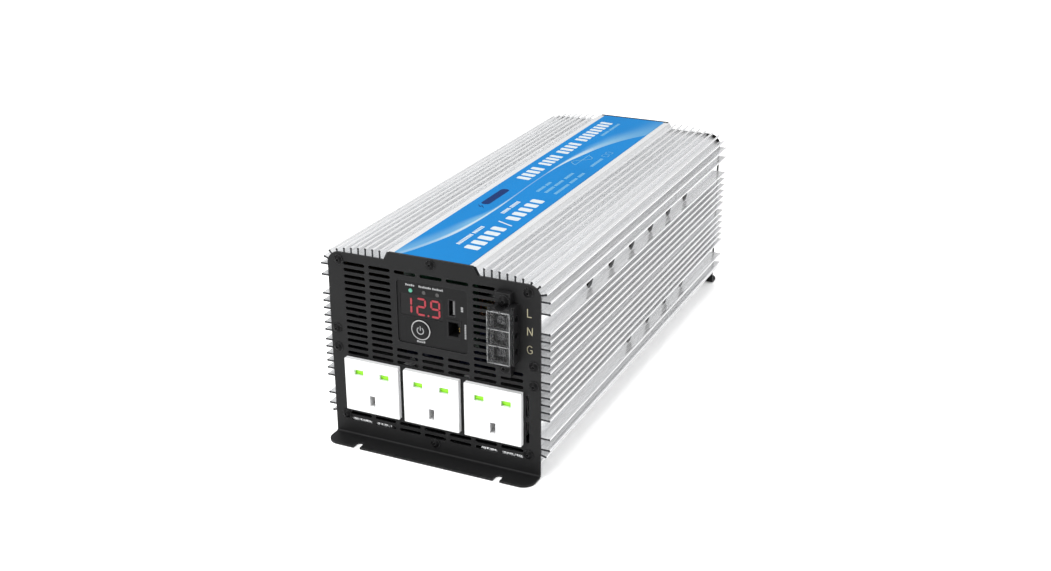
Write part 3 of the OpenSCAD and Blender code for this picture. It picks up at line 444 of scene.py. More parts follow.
def label_film():
    """Blue printed film with a bright line and a soft pale lobe along it."""
    m, nt, b = new_material("blue_label_look")
    place = axes(nt, "Object")
    along = maths(nt, "MULTIPLY_ADD", place["Y"], 1 / (SWEEP_L * MM), -FRONT_Y / (SWEEP_L * MM))
    span = SWEEP_X[1] - SWEEP_X[0]
    edge = curve_of(nt, along, [(p[0] / SWEEP_L, (p[1] - SWEEP_X[0]) / span) for p in SWEEP])
    x_mm = maths(nt, "MULTIPLY", place["X"], 1 / MM)
    inside = maths(nt, "SUBTRACT", maths(nt, "MULTIPLY_ADD", edge, span, SWEEP_X[0]), x_mm)
    rise = remap(nt, inside, 0, 1, 0.0, 1.0)

    def lobe(width_at, strength_at, hold):
        width = curve_of(nt, along, [(p[0] / SWEEP_L, p[width_at] / SWEEP_W) for p in SWEEP])
        strength = curve_of(nt, along, [(p[0] / SWEEP_L, p[strength_at]) for p in SWEEP])
        far = maths(nt, "DIVIDE", inside, maths(nt, "MULTIPLY", width, SWEEP_W))
        fall = nt.nodes.new("ShaderNodeMapRange")
        fall.interpolation_type = "SMOOTHSTEP"
        for key, v in (("From Min", hold), ("From Max", 1.0), ("To Min", 1.0), ("To Max", 0.0)):
            fall.inputs[key].default_value = v
        nt.links.new(far, fall.inputs["Value"])
        shape = maths(nt, "MULTIPLY", rise, fall.outputs["Result"])
        return maths(nt, "MULTIPLY", shape, strength, clamp=True)

    line = lobe(2, 3, 0.45)
    soft = lobe(4, 5, 0.30)
    fine = noise(nt, 1500.0, 2.0)
    patches = noise(nt, (30.0, 14.0, 30.0), 3.0)
    blue = blend_colour(nt, remap(nt, patches, 0, 1), shade(LABEL_BLUE, 0.96), shade(LABEL_BLUE, 1.04))
    colour = blend_colour(nt, soft, blue, SWEEP_TEAL)
    colour = blend_colour(nt, line, colour, SWEEP_PALE)
    nt.links.new(colour, b.inputs["Base Color"])
    nt.links.new(remap(nt, fine, 0.50, 0.60), b.inputs["Roughness"])
    b.inputs["Specular IOR Level"].default_value = 0.06
    bump(nt, b, fine, 0.004 * MM)
    return m


def glow(name, base, light, strength):
    """Lit plastic: a coloured moulding with light coming through it."""
    m, nt, b = new_material(name)
    grains = remap(nt, noise(nt, 900.0, 2.0), 0, 1)
    nt.links.new(blend_colour(nt, grains, shade(base, 0.88), shade(base, 1.08)), b.inputs["Base Color"])
    nt.links.new(blend_colour(nt, grains, shade(light, 0.9), light), b.inputs["Emission Color"])
    b.inputs["Emission Strength"].default_value = strength
    b.inputs["Roughness"].default_value = 0.3
    return m


def clear_plastic():
    """Clear plastic: a faint haze on the panes, and edges made more opaque so their pale colour shows as a
    painted highlight.
    """
    m, nt, b = new_material("clear_cover_look")
    fine = noise(nt, (700.0, 700.0, 260.0), 2.0)
    # edges made more opaque so the pale colour shows there: a painted highlight
    edges = maths(nt, "MULTIPLY", edge_mask(nt, 0.28 * MM), 0.25)
    colour = blend_colour(nt, remap(nt, fine, 0, 1), (0.50, 0.515, 0.52), (0.62, 0.63, 0.635))
    nt.links.new(colour, b.inputs["Base Color"])
    nt.links.new(remap(nt, fine, 0.06, 0.14), b.inputs["Roughness"])
    haze = remap(nt, fine, 0.010, 0.022)
    nt.links.new(maths(nt, "ADD", haze, edges, clamp=True), b.inputs["Alpha"])
    bump(nt, b, fine, 0.004 * MM)
    return m


def cover_rim():
    """The same plastic where light gathers: brighter and cloudier."""
    m, nt, b = new_material("cover_rim_look")
    fine = noise(nt, (260.0, 700.0, 120.0), 2.0)
    colour = blend_colour(nt, remap(nt, fine, 0, 1), (0.34, 0.345, 0.35), (0.58, 0.585, 0.59))
    nt.links.new(colour, b.inputs["Base Color"])
    nt.links.new(remap(nt, fine, 0.12, 0.24), b.inputs["Roughness"])
    nt.links.new(remap(nt, fine, 0.30, 0.62), b.inputs["Alpha"])
    bump(nt, b, fine, 0.004 * MM)
    return m


def board_green(name):
    """Solder mask with tracks under it and tinned pads."""
    m, nt, b = new_material(name)
    tracks = nt.nodes.new("ShaderNodeTexBrick")
    tracks.offset = 0.37
    sizes = (("Scale", 1.0), ("Mortar Size", 0.09), ("Brick Width", 3.1), ("Row Height", 0.7), ("Bias", -0.2))
    for key, v in sizes:
        tracks.inputs[key].default_value = v
    tracks.inputs["Color1"].default_value = (0.003, 0.022, 0.010, 1)
    tracks.inputs["Color2"].default_value = (0.004, 0.028, 0.012, 1)
    tracks.inputs["Mortar"].default_value = (0.007, 0.052, 0.022, 1)
    nt.links.new(coords(nt, 420.0), tracks.inputs["Vector"])
    cells = nt.nodes.new("ShaderNodeTexVoronoi")
    cells.inputs["Scale"].default_value = 1.0
    nt.links.new(coords(nt, 190.0), cells.inputs["Vector"])
    pad = remap(nt, cells.outputs["Distance"], 1.0, 0.0, 0.10, 0.13)
    colour = blend_colour(nt, pad, tracks.outputs["Color"], (0.62, 0.63, 0.62))
    nt.links.new(colour, b.inputs["Base Color"])
    nt.links.new(pad, b.inputs["Metallic"])
    b.inputs["Roughness"].default_value = 0.32
    bump(nt, b, maths(nt, "ADD", tracks.outputs["Fac"], pad), 0.03 * MM)
    return m


def wound(name, base, dark, stretch, rough=0.35, metal=0.0):
    """Turns of wire or tape lying side by side."""
    m, nt, b = new_material(name)
    wave = nt.nodes.new("ShaderNodeTexWave")
    wave.wave_type = "BANDS"
    wave.bands_direction = "DIAGONAL"
    for key, v in (("Scale", 1.0), ("Distortion", 0.7), ("Detail", 1.0)):
        wave.inputs[key].default_value = v
    nt.links.new(coords(nt, stretch), wave.inputs["Vector"])
    patches = noise(nt, 90.0, 3.0)
    colour = blend_colour(nt, wave.outputs["Fac"], dark, base)
    colour = blend_colour(nt, remap(nt, patches, 0, 0.25), colour, shade(base, 0.5))
    nt.links.new(colour, b.inputs["Base Color"])
    b.inputs["Metallic"].default_value = metal
    nt.links.new(remap(nt, patches, rough - 0.08, rough + 0.1), b.inputs["Roughness"])
    bump(nt, b, wave.outputs["Fac"], 0.3 * MM)
    return m


def housing_plastic():
    """White moulding whose outermost top and bottom faces, seen past the panel's cut-outs, are painted near
    black as painted shade.
    """
    m = finish("housing_plastic_look", (0.92, 0.92, 0.92), 0.36, vary=0.03, patch=60.0, depth=0.006)
    nt = m.node_tree
    b = nt.nodes["Principled BSDF"]
    white = b.inputs["Base Color"].links[0].from_socket
    lo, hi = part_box("socket_housings")
    off = maths(nt, "ABSOLUTE", maths(nt, "SUBTRACT", axes(nt, "Object")["Z"], (lo.z + hi.z) / 2))
    half = (hi.z - lo.z) / 2
    # outermost top and bottom faces painted near black: painted shade
    outer_face_shade = remap(nt, off, 0, 1, half - 0.4 * MM, half - 0.3 * MM)
    nt.links.new(blend_colour(nt, outer_face_shade, white, (0.02, 0.02, 0.02)), b.inputs["Base Color"])
    return m


# radius and half width of the line printed round the button
RING_R, RING_W = 7.6, 0.45


def lit_ring():
    """Black ring with a thin pale line printed round it."""
    m, nt, b = new_material("button_ring_look")
    tex = nt.nodes.new("ShaderNodeTexCoord")
    away = vector_maths(nt, "SUBTRACT", tex.outputs["Object"], BUTTON_MID)
    distance = vector_maths(nt, "LENGTH", vector_maths(nt, "MULTIPLY", away, (1.0, 0.0, 1.0)))
    start = remap(nt, distance, 0, 1, (RING_R - RING_W) * MM, (RING_R - 0.7 * RING_W) * MM)
    stop = remap(nt, distance, 1, 0, (RING_R + 0.7 * RING_W) * MM, (RING_R + RING_W) * MM)
    fine = noise(nt, 1800.0, 2.0)
    line = maths(nt, "MULTIPLY", maths(nt, "MULTIPLY", start, stop), remap(nt, fine, 0.85, 1.0))
    nt.links.new(blend_colour(nt, line, (0.010, 0.010, 0.0105), (0.42, 0.42, 0.42)), b.inputs["Base Color"])
    nt.links.new(remap(nt, fine, 0.34, 0.44), b.inputs["Roughness"])
    b.inputs["Specular IOR Level"].default_value = 0.12
    bump(nt, b, fine, 0.004 * MM)
    return m


LOOK = {
    "anodised_aluminium": aluminium(),
    "blue_label": label_film(),
    "black_panel": finish(
        "black_panel_look", (0.0096, 0.0097, 0.0100), 0.50, spec=0.15, vary=0.10, patch=45.0,
        grain=3000.0, depth=0.022, rough_vary=0.06, edge=0.35, edge_colour=(0.060, 0.061, 0.063),
    ),
    "black_screw": finish(
        "black_screw_look", (0.0030, 0.0030, 0.0032), 0.42, spec=0.10, vary=0.25, patch=400.0,
        grain=5000.0, depth=0.006, edge=0.22, edge_colour=(0.17, 0.17, 0.175),
    ),
    "white_socket": finish(
        "white_socket_look", (0.84, 0.845, 0.85), 0.30, vary=0.015, patch=35.0,
        grain=1800.0, depth=0.006, rough_vary=0.05, edge=0.35, edge_colour=(0.93, 0.93, 0.93),
    ),
    "green_shutter": finish(
        "green_shutter_look", (0.30, 0.80, 0.015), 0.36, vary=0.05, patch=150.0, depth=0.01,
    ),
    "brass": finish(
        "brass_look", (0.78, 0.56, 0.25), 0.28, metal=1.0, vary=0.08, patch=120.0,
        grain=(2600.0, 300.0, 2600.0), depth=0.012, edge=0.2, edge_colour=(0.92, 0.76, 0.45),
    ),
    "black_bezel": finish(
        "black_bezel_look", (0.0078, 0.0079, 0.0082), 0.44, spec=0.12, vary=0.06, patch=60.0,
        grain=2600.0, depth=0.008, edge=0.3, edge_colour=(0.06, 0.06, 0.062),
    ),
    "display_dark": finish(
        "display_dark_look", (0.0125, 0.0122, 0.0126), 0.40, spec=0.12, vary=0.10, patch=200.0,
        grain=1500.0, depth=0.003,
    ),
    "display_red": glow("display_red_look", (0.20, 0.006, 0.015), (1.0, 0.035, 0.075), 0.17),
    "led_green": glow("led_green_look", (0.05, 0.22, 0.15), (0.16, 1.0, 0.62), 0.18),
    "led_dark": finish(
        "led_dark_look", (0.020, 0.019, 0.0185), 0.22, vary=0.2, patch=700.0, depth=0.004, coat=0.3,
    ),
    "button_ring": lit_ring(),
    "plated_steel": finish(
        "plated_steel_look", (0.62, 0.63, 0.64), 0.30, metal=1.0, vary=0.08, patch=160.0,
        grain=(3600.0, 900.0, 3600.0), depth=0.012, edge=0.2, edge_colour=(0.86, 0.86, 0.86),
    ),
    "dark_steel": finish(
        "dark_steel_look", (0.026, 0.026, 0.028), 0.42, metal=0.4, vary=0.12, patch=260.0, depth=0.01,
        edge=0.2, edge_colour=(0.10, 0.10, 0.10),
    ),
    "usb_insulator": finish(
        "usb_insulator_look", (0.10, 0.10, 0.102), 0.45, vary=0.05, patch=300.0, depth=0.01,
    ),
    "jack_plastic": finish(
        "jack_plastic_look", (0.009, 0.009, 0.0095), 0.42, spec=0.12, vary=0.10, patch=200.0,
        depth=0.012, edge=0.2, edge_colour=(0.030, 0.030, 0.031),
    ),
    "green_board": board_green("green_board_look"),
    "terminal_plastic": finish(
        "terminal_plastic_look", (0.010, 0.010, 0.0105), 0.46, spec=0.16, vary=0.12, patch=130.0,
        grain=2400.0, depth=0.02, edge=0.3, edge_colour=(0.05, 0.05, 0.052),
    ),
    "clear_cover": clear_plastic(),
    "fan_plastic": finish(
        "fan_plastic_look", (0.020, 0.020, 0.021), 0.50, vary=0.12, patch=90.0,
        grain=2600.0, depth=0.03, edge=0.3, edge_colour=(0.07, 0.07, 0.07),
    ),
    "red_plastic": finish(
        "red_plastic_look", (0.56, 0.018, 0.020), 0.33, vary=0.06, patch=110.0, depth=0.012,
        edge=0.3, edge_colour=(0.75, 0.10, 0.09),
    ),
    "black_plastic": finish(
        "black_plastic_look", (0.018, 0.018, 0.019), 0.36, vary=0.10, patch=110.0, depth=0.012,
        edge=0.3, edge_colour=(0.07, 0.07, 0.07),
    ),
    "copper": finish(
        "copper_look", (0.76, 0.36, 0.21), 0.32, metal=1.0, vary=0.14, patch=70.0,
        grain=(300.0, 3000.0, 3000.0), depth=0.012, edge=0.3, edge_colour=(0.95, 0.60, 0.42),
    ),
    "standoff_brass": finish(
        "standoff_brass_look", (0.70, 0.50, 0.22), 0.30, metal=1.0, vary=0.10, patch=200.0,
        grain=(300.0, 300.0, 4200.0), depth=0.015,
    ),
    "ferrite": finish(
        "ferrite_look", (0.035, 0.035, 0.038), 0.62, vary=0.18, patch=160.0, depth=0.05,
        edge=0.4, edge_colour=(0.11, 0.11, 0.11),
    ),
    "yellow_tape": wound("yellow_tape_look", (0.78, 0.50, 0.045), (0.50, 0.29, 0.02), (6.0, 6.0, 95.0)),
    "powder_core": finish(
        "powder_core_look", (0.50, 0.40, 0.07), 0.40, vary=0.10, patch=140.0, depth=0.03, coat=0.4,
    ),
    "enamelled_copper": wound(
        "enamelled_copper_look", (0.62, 0.22, 0.07), (0.17, 0.05, 0.02), (150.0, 150.0, 10.0), 0.26, 0.7
    ),
    "capacitor_blue": finish(
        "capacitor_blue_look", (0.007, 0.012, 0.045), 0.30, vary=0.10, patch=(70.0, 70.0, 24.0),
        depth=0.012, coat=0.4,
    ),
    "capacitor_green": finish(
        "capacitor_green_look", (0.014, 0.095, 0.05), 0.26, vary=0.10, patch=(90.0, 90.0, 30.0),
        depth=0.012, coat=0.4,
    ),
    "device_epoxy": finish(
        "device_epoxy_look", (0.018, 0.018, 0.018), 0.52, vary=0.14, patch=240.0, depth=0.03,
    ),
    "pad_grey": finish("pad_grey_look", (0.030, 0.033, 0.036), 0.72, vary=0.08, patch=130.0, depth=0.03),
    "fuse_orange": finish(
        "fuse_orange_look", (0.80, 0.27, 0.02), 0.34, vary=0.06, patch=200.0, depth=0.012, coat=0.3,
    ),
}


def ink(name, base, vary=0.04):
    """Matt printing ink."""
    return finish(f"ink_{name}_look", base, 0.50, spec=0.06, vary=vary, patch=200.0, depth=0.003)


ink_white = ink("white", (0.47, 0.51, 0.53))
ink_pale = ink("pale", (0.135, 0.315, 0.462))
ink_navy = ink("navy", (0.0010, 0.019, 0.098), 0.08)
ink_cream = ink("cream", (0.42, 0.39, 0.27), 0.06)
ink_grey = ink("grey", (0.30, 0.304, 0.308), 0.06)
usb_metal = finish(
    "usb_metal_look", (0.030, 0.030, 0.032), 0.36, metal=0.6, vary=0.10, patch=300.0, depth=0.008,
)
gold = finish("gold_look", (0.34, 0.24, 0.09), 0.30, metal=1.0, vary=0.05, patch=400.0, depth=0.004)

slot_of = {p["node"]: p["material_slot"] for p in frame["record"]["subparts"]}
for node, obj in frame["nodes"].items():
    obj.data.materials.clear()
    obj.data.materials.append(LOOK[slot_of[node]])
frame["nodes"]["usb_shell"].data.materials[0] = usb_metal
frame["nodes"]["socket_housings"].data.materials[0] = housing_plastic()

# ---------- extrusions: fine ridges along the fins' flanks ----------


def ridges(shapes, root, direction, length, mirror, flip):
    """Lengthwise ridges on both flanks of one fin, drawn in x and height above the parting plane."""
    d = Vector(direction).normalized()
    n = Vector((-d.y, d.x))
    count = int((length - 2 * BULB_R - 0.5) / RIDGE_PITCH)
    for side in (-1, 1):
        for k in range(count):
            out = n * side
            base = Vector(root) + d * (RIDGE_START + k * RIDGE_PITCH) + out * (FIN_T / 2 - RIDGE_SINK)
            corners = [base - d * RIDGE_HALF, base + d * RIDGE_HALF, base + out * (RIDGE_H + RIDGE_SINK)]
            y = SHELL_Y0 + RIDGE_INSET * MM
            outline = [(mirror * p.x * MM, y, MID_Z + flip * p.y * MM) for p in corners]
            shapes.prism(outline, (0, SHELL_Y1 - SHELL_Y0 - 2 * RIDGE_INSET * MM, 0))


def fin_lines(shapes, flip):
    """Ridges of every fin of one extrusion: flip is 1 for the upper and -1 for the lower one."""
    for mirror in (-1, 1):
        for k in range(TOP_FINS):
            x = TOP_FIN_X0 + k * TOP_FIN_PITCH
            tip = TOP_TIP - TOP_TIP_FALL * (x - TOP_FIN_X0) ** 2
            ridges(shapes, (x, SHELL_TOP), (0, 1), tip - SHELL_TOP, mirror, flip)
        for a in CORNER_FINS:
            d = (math.cos(math.radians(a)), math.sin(math.radians(a)))
            root = (CORNER_X + d[0] * CORNER_R, CORNER_H + d[1] * CORNER_R)
            tip = CORNER_TIP + (CORNER_FINS[0] - a) * CORNER_TIP_GAIN
            ridges(shapes, root, d, tip - CORNER_R, mirror, flip)
        for h in SIDE_FINS:
            ridges(shapes, (SIDE_ROOT, h), (1, 0), TIP_X - SIDE_ROOT, mirror, flip)


for name, flip in (("upper_fin_ridges", 1), ("lower_fin_ridges", -1)):
    shapes = Shapes()
    fin_lines(shapes, flip)
    shapes.piece(name, LOOK["anodised_aluminium"], CASE, "anodised_aluminium")

# ---------- label print ----------

# ink that stands just proud of the film
LABEL_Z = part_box("top_label")[1].z - 0.004 * MM
INK = 0.03 * MM


def on_label(outline):
    """2-D points (distance from the front, x) in millimetres, laid on the label."""
    return [(x * MM, FRONT_Y + y * MM, LABEL_Z) for y, x in outline]


def word(shapes, y0, y1, x0, x1, marks, gap, slant):
    """A row of plain bars that stands in for a word. Their tops are towards x0."""
    pitch = (y1 - y0) / marks
    half = (1 - gap) * pitch / 2
    cut = min(half, (x1 - x0) / 2) * 0.35
    for k in range(marks):
        mid = y0 + (k + 0.5) * pitch
        box = rounded(2 * half, x1 - x0, cut, 2)
        shapes.prism(on_label([(mid + p[0] - slant * p[1], (x0 + x1) / 2 + p[1]) for p in box]), (0, 0, INK))


# stand-ins for words: from and to, measured from the front, then left x, right x and number of bars
LARGE_WORDS = [
    (197, 235.5, -24.9, -12.6, 4), (242, 275, -24.9, -12.6, 4), (281, 319, -24.9, -12.6, 4),
    (325, 397, -24.9, -12.6, 8), (29, 84, 11.0, 23.2, 5), (99, 156, 11.4, 22.8, 5),
]
SMALL_WORDS = [(36, 60, 2.0, 5.6, 9), (62, 79, 2.0, 5.6, 6), (112, 126, 2.0, 5.6, 5), (128, 144, 2.0, 5.6, 6)]
PALE_WORDS = [
    (173, 189, 5.2, 8.2, 6), (191, 201, 5.2, 8.2, 4),
    (173, 191, 12.6, 15.6, 7), (193, 210, 12.6, 15.6, 6), (214, 232, 12.6, 15.6, 7),
    (173, 202, 21.2, 24.2, 11), (205, 220, 21.2, 24.2, 6), (223, 236, 21.2, 24.2, 5),
    (256, 282, 19.6, 22.6, 11), (350, 368, -8.2, -5.2, 7), (370, 396, -8.2, -5.2, 10),
]

white = Shapes()
for row in LARGE_WORDS:
    word(white, *row, 0.36, 0.08)
for part in stroke([(88.5, 23.2), (94.5, 9.8)], 1.6):
    white.prism(on_label(part), (0, 0, INK))
for row in SMALL_WORDS:
    word(white, *row, 0.3, 0.1)
white.piece("label_print_white", ink_white, CASE, "blue_label")

pale = Shapes()
for row in PALE_WORDS:
    word(pale, *row, 0.34, 0.1)
# one period of a wave on its axis
WAVE_Y, WAVE_X, WAVE_L, WAVE_H, WAVE_STEPS = 255, 6.4, 31, 6.4, 24
turns = [k / WAVE_STEPS for k in range(WAVE_STEPS + 1)]
wave = [(WAVE_Y + WAVE_L * u, WAVE_X - WAVE_H * math.sin(2 * math.pi * u)) for u in turns]
for part in stroke(wave, 0.75) + stroke([(WAVE_Y, WAVE_X), (WAVE_Y + WAVE_L + 2, WAVE_X)], 0.5):
    pale.prism(on_label(part), (0, 0, INK))
for y in (291.5, 300.5):
    square = [(y + p[0], 20.4 + p[1]) for p in rounded(6.2, 6.2, 1.2, 3)]
    for part in stroke(square, 0.55, closed=True):
        pale.prism(on_label(part), (0, 0, INK))
pale.piece("label_print_pale", ink_pale, CASE, "blue_label")

BADGE_X = -19.2
BOLT = [(3.2, -4.6), (-1.6, -0.4), (0.9, -0.4), (-3.2, 4.6), (1.6, 0.6), (-0.9, 0.6)]
navy = Shapes()
navy.prism(on_label([(121 + p[0] * 1.15, BADGE_X + p[1]) for p in BOLT]), (0, 0, INK))
navy.prism(on_label([(147.5 + p[0], BADGE_X + p[1]) for p in rounded(42, 7.6, 3.6)]), (0, 0, INK))
navy.piece("label_print_navy", ink_navy, CASE, "blue_label")

# ---------- front panel marks ----------


def on_front(outline, y):
    """2-D points (x, z) in metres on a plane that faces the front."""
    return [(p[0], y, p[1]) for p in outline]


def letter_strokes(kind, h):
    """Lines that draw an L, an N or a G of height h."""
    w = h * 0.62
    if kind == "L":
        return [[(0, h), (0, 0), (w * 0.8, 0)]]
    if kind == "N":
        return [[(0, 0), (0, h), (w, 0), (w, h)]]
    bowl = arc(w / 2 + 0.1, h / 2, h / 2, 48, 312, 14)
    bowl = [((p[0] - w / 2) * 0.72 + w / 2, p[1]) for p in bowl]
    return [bowl, [(w * 0.98, 0.13 * h), (w * 0.98, h * 0.44), (w * 0.60, h * 0.44)]]


LETTER_X, LETTER_H = 77.6, 6.0
LETTERS = (("L", 131.9), ("N", 117.8), ("G", 103.5))
letters = Shapes()
for kind, z in LETTERS:
    for line in letter_strokes(kind, LETTER_H):
        for part in stroke(line, 0.62):
            outline = [((LETTER_X + p[0]) * MM, (z - LETTER_H / 2 + p[1]) * MM) for p in part]
            letters.prism(on_front(outline, FRONT_Y + 0.01 * MM), (0, -0.05 * MM, 0))
letters.piece("terminal_letters", ink_cream, CASE, "black_panel")

# bars in place of captions: left, right, low, high and number of bars, along x and then along z
CAPTIONS = [
    (-21.7, -13.9, 136.1, 137.7, 5), (-10.6, -0.1, 136.1, 137.7, 8), (0.8, 9.8, 136.1, 137.7, 7),
    (-13.4, -6.2, 91.7, 93.3, 4),
]
UPRIGHT_CAPTIONS = [(24.0, 25.8, 122.8, 126.8, 3), (26.7, 28.0, 101.6, 113.4, 9)]
BAR_SHARE, LOW_BAR = 0.78, 0.35
captions = Shapes()


def caption_bar(x0, x1, z0, z1):
    outline = [(x0 * MM, z0 * MM), (x1 * MM, z0 * MM), (x1 * MM, z1 * MM), (x0 * MM, z1 * MM)]
    captions.prism(on_front(outline, BEZEL_Y + 0.01 * MM), (0, -0.04 * MM, 0))


for x0, x1, z0, z1, count in CAPTIONS:
    pitch = (x1 - x0) / count
    for k in range(count):
        a = x0 + k * pitch
        caption_bar(a, a + pitch * BAR_SHARE, z0, z1 if k % 3 == 0 else z1 - LOW_BAR)
for x0, x1, z0, z1, count in UPRIGHT_CAPTIONS:
    pitch = (z1 - z0) / count
    for k in range(count):
        a = z0 + k * pitch
        caption_bar(x0, x1, a, a + pitch * BAR_SHARE)
captions.piece("module_captions", ink_grey, CASE, "black_bezel")

# power symbol in the dish of the button: the dish's radius, and how far its centre stands out from the bezel
DISH_R, DISH_OUT = 30.0, 31.2


def on_dish(px, pz, lift):
    """A point over the dish of the button, px and pz in millimetres from its middle."""
    out = DISH_OUT - math.sqrt(DISH_R**2 - px * px - pz * pz)
    return (BUTTON_MID.x + px * MM, BEZEL_Y - (out + lift) * MM, BUTTON_MID.z + pz * MM)


symbol = Shapes()
ring = arc(0, -0.2, 2.7, 125, 415, 30)
bar = [(0, 0.1 + 0.1 * k) for k in range(0, 33, 4)]
for line in (ring, bar):
    for part in stroke(line, 0.72):
        low = [on_dish(p[0], p[1], -0.02) for p in part]
        high = [on_dish(p[0], p[1], 0.03) for p in part]
        sides = [(i, (i + 1) % 4, 4 + (i + 1) % 4, 4 + i) for i in range(4)]
        symbol.add(low + high, [(0, 1, 2, 3), (4, 5, 6, 7), *sides])
symbol.piece("power_symbol", ink_grey, "button", "black_bezel")

# sprung wires inside the remote jack
WIRES, WIRE_PITCH, WIRE_HALF = 4, 1.3 * MM, 0.22 * MM
wires = Shapes()
jack_mid = centre("remote_jack")
for k in range(WIRES):
    z = jack_mid.z + (k - (WIRES - 1) / 2) * WIRE_PITCH
    wires.box(
        (jack_mid.x + 2.6 * MM, FRONT_Y + 3.0 * MM, z - WIRE_HALF),
        (jack_mid.x + 3.3 * MM, FRONT_Y + 11.0 * MM, z + WIRE_HALF),
    )
wires.piece("jack_wires", gold, CASE, "brass")

# ribs moulded on the clear cover: a rim round its face and bars over the walls between the cells
RIM, RIM_CUT, RIM_GAP = 0.45 * MM, 0.1 * MM, 0.02 * MM
cover_lo, cover_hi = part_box("terminal_cover")
screws_lo, screws_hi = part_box("terminal_screws")
cell_pitch = ((screws_hi.z - screws_lo.z) - (screws_hi.x - screws_lo.x)) / 2
cells_mid = centre("terminal_screws").z
rib_y0, rib_y1 = cover_lo.y - 0.25 * MM, cover_lo.y + 0.1 * MM
x0, x1 = cover_lo.x + RIM, cover_hi.x - RIM
levels = [cover_lo.z + RIM, cells_mid - cell_pitch / 2, cells_mid + cell_pitch / 2, cover_hi.z - RIM]
ribs = Shapes()
for z in levels:
    ribs.soft_box((x0, rib_y0, z - RIM / 2), (x1, rib_y1, z + RIM / 2), RIM_CUT)
for x in (x0, x1):
    for low, high in zip(levels, levels[1:]):
        z0, z1 = low + RIM / 2 + RIM_GAP, high - RIM / 2 - RIM_GAP
        ribs.soft_box((x - RIM / 2, rib_y0, z0), (x + RIM / 2, rib_y1, z1), RIM_CUT)
ribs.piece("cover_ribs", cover_rim(), "cover", "clear_cover")

# ---------- rear: fan rotors, threads and marks ----------

# fan rotor: hub radius and length, its distance from the rotor's rear end, blades and their length
HUB_R, HUB_L, HUB_INSET, BLADES, BLADE_L = 16.0, 18.0, 0.2, 7, 17.0
BLADE_ROWS, BLADE_COLS = 9, 9
# plated disc on the hub: its radius, and the radius of the caps in the middle of its two faces
DISC_R, DISC_CAP_R = 11.5, 1.2


def blade_side(mid, tip_r, y0, y1, start, side):
    """Grid of points on one side of a twisted, cambered blade, from hub to tip."""
    grid = []
    root_r = (HUB_R - 0.4) * MM
    for i in range(BLADE_ROWS):
        u = i / (BLADE_ROWS - 1)
        r = root_r + (tip_r - root_r) * u
        sweep = math.radians(46 - 12 * u)
        for j in range(BLADE_COLS):
            v = j / (BLADE_COLS - 1)
            bow = math.sin(math.pi * v)
            a = start + sweep * (v - 0.5) + 0.12 * bow + math.radians(9) * u
            half = (1.0 - 0.35 * u) * MM * (0.25 + 0.75 * bow) / 2
            y = y0 + (y1 - y0) * v + side * half
            grid.append(Vector((mid.x + r * math.sin(a), y, mid.z + r * math.cos(a))))
    return grid


def blade_faces():
    """Faces of a blade's two grids and of the rim that joins them."""
    rows, cols = BLADE_ROWS, BLADE_COLS
    n = rows * cols
    faces = []
    for i in range(rows - 1):
        for j in range(cols - 1):
            a = i * cols + j
            faces.append((a, a + 1, a + cols + 1, a + cols))
            faces.append((n + a, n + a + cols, n + a + cols + 1, n + a + 1))
    rim = list(range(cols)) + [i * cols + cols - 1 for i in range(1, rows)]
    rim += [(rows - 1) * cols + j for j in range(cols - 2, -1, -1)]
    rim += [i * cols for i in range(rows - 2, 0, -1)]
    faces += [(a, b, n + b, n + a) for a, b in zip(rim, rim[1:] + rim[:1])]
    return faces


def fan_rotor(name, body):
    """Hub, blades and disc that replace the plain rotor of the CAD."""
    lo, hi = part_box(name)
    mid = (lo + hi) / 2
    y0, y1 = lo.y, hi.y
    tip_r = (hi.x - lo.x) / 2
    hub_r = HUB_R * MM
    hub_y0, hub_y1 = y1 - HUB_L * MM, y1 - HUB_INSET * MM
    axle = (mid.x, 0, mid.z)
    rearward = (0, 1, 0)
    s = Shapes()
    profile = [
        (hub_r - 2 * MM, hub_y0), (hub_r, hub_y0),
        (hub_r, hub_y1 - 1.4 * MM), (hub_r - 0.5 * MM, hub_y1 - 0.5 * MM), (hub_r - 1.6 * MM, hub_y1),
        (1.0 * MM, hub_y1), (1.0 * MM, hub_y1 - 2 * MM), (hub_r - 2 * MM, hub_y1 - 2 * MM),
    ]
    s.lathe(profile, axle, rearward, 64)
    s.lathe([(1.5 * MM, y0), (1.5 * MM, hub_y1 - 1 * MM)], axle, rearward, 24)
    blade_y0, blade_y1 = y1 - BLADE_L * MM, y1 - 0.6 * MM
    for k in range(BLADES):
        start = 2 * math.pi * k / BLADES
        low, high = [blade_side(mid, tip_r, blade_y0, blade_y1, start, side) for side in (-1, 1)]
        s.add(low + high, blade_faces())
    piece = s.piece(f"{name}_blades", LOOK["fan_plastic"], body, "fan_plastic")
    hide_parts(name)
    disc_y0, disc_y1 = hub_y1 - 0.05 * MM, hub_y1 + 0.08 * MM
    cap, rim = DISC_CAP_R * MM, DISC_R * MM
    disc = Shapes()
    disc.lathe([(cap, disc_y0), (rim, disc_y0), (rim, disc_y1), (cap, disc_y1)], axle, rearward)
    disc.piece(f"{name}_disc", LOOK["plated_steel"], body, "plated_steel")


fan_rotor("fan_rotor_left", "left_rotor")
fan_rotor("fan_rotor_right", "right_rotor")

# battery studs: radius, pitch and depth of the thread, then radius and thickness of the hexagon head
STUD_R, THREAD_PITCH, THREAD_DEPTH = 5.0, 1.5, 0.62
HEAD_R, HEAD_T = 9.5, 6.0


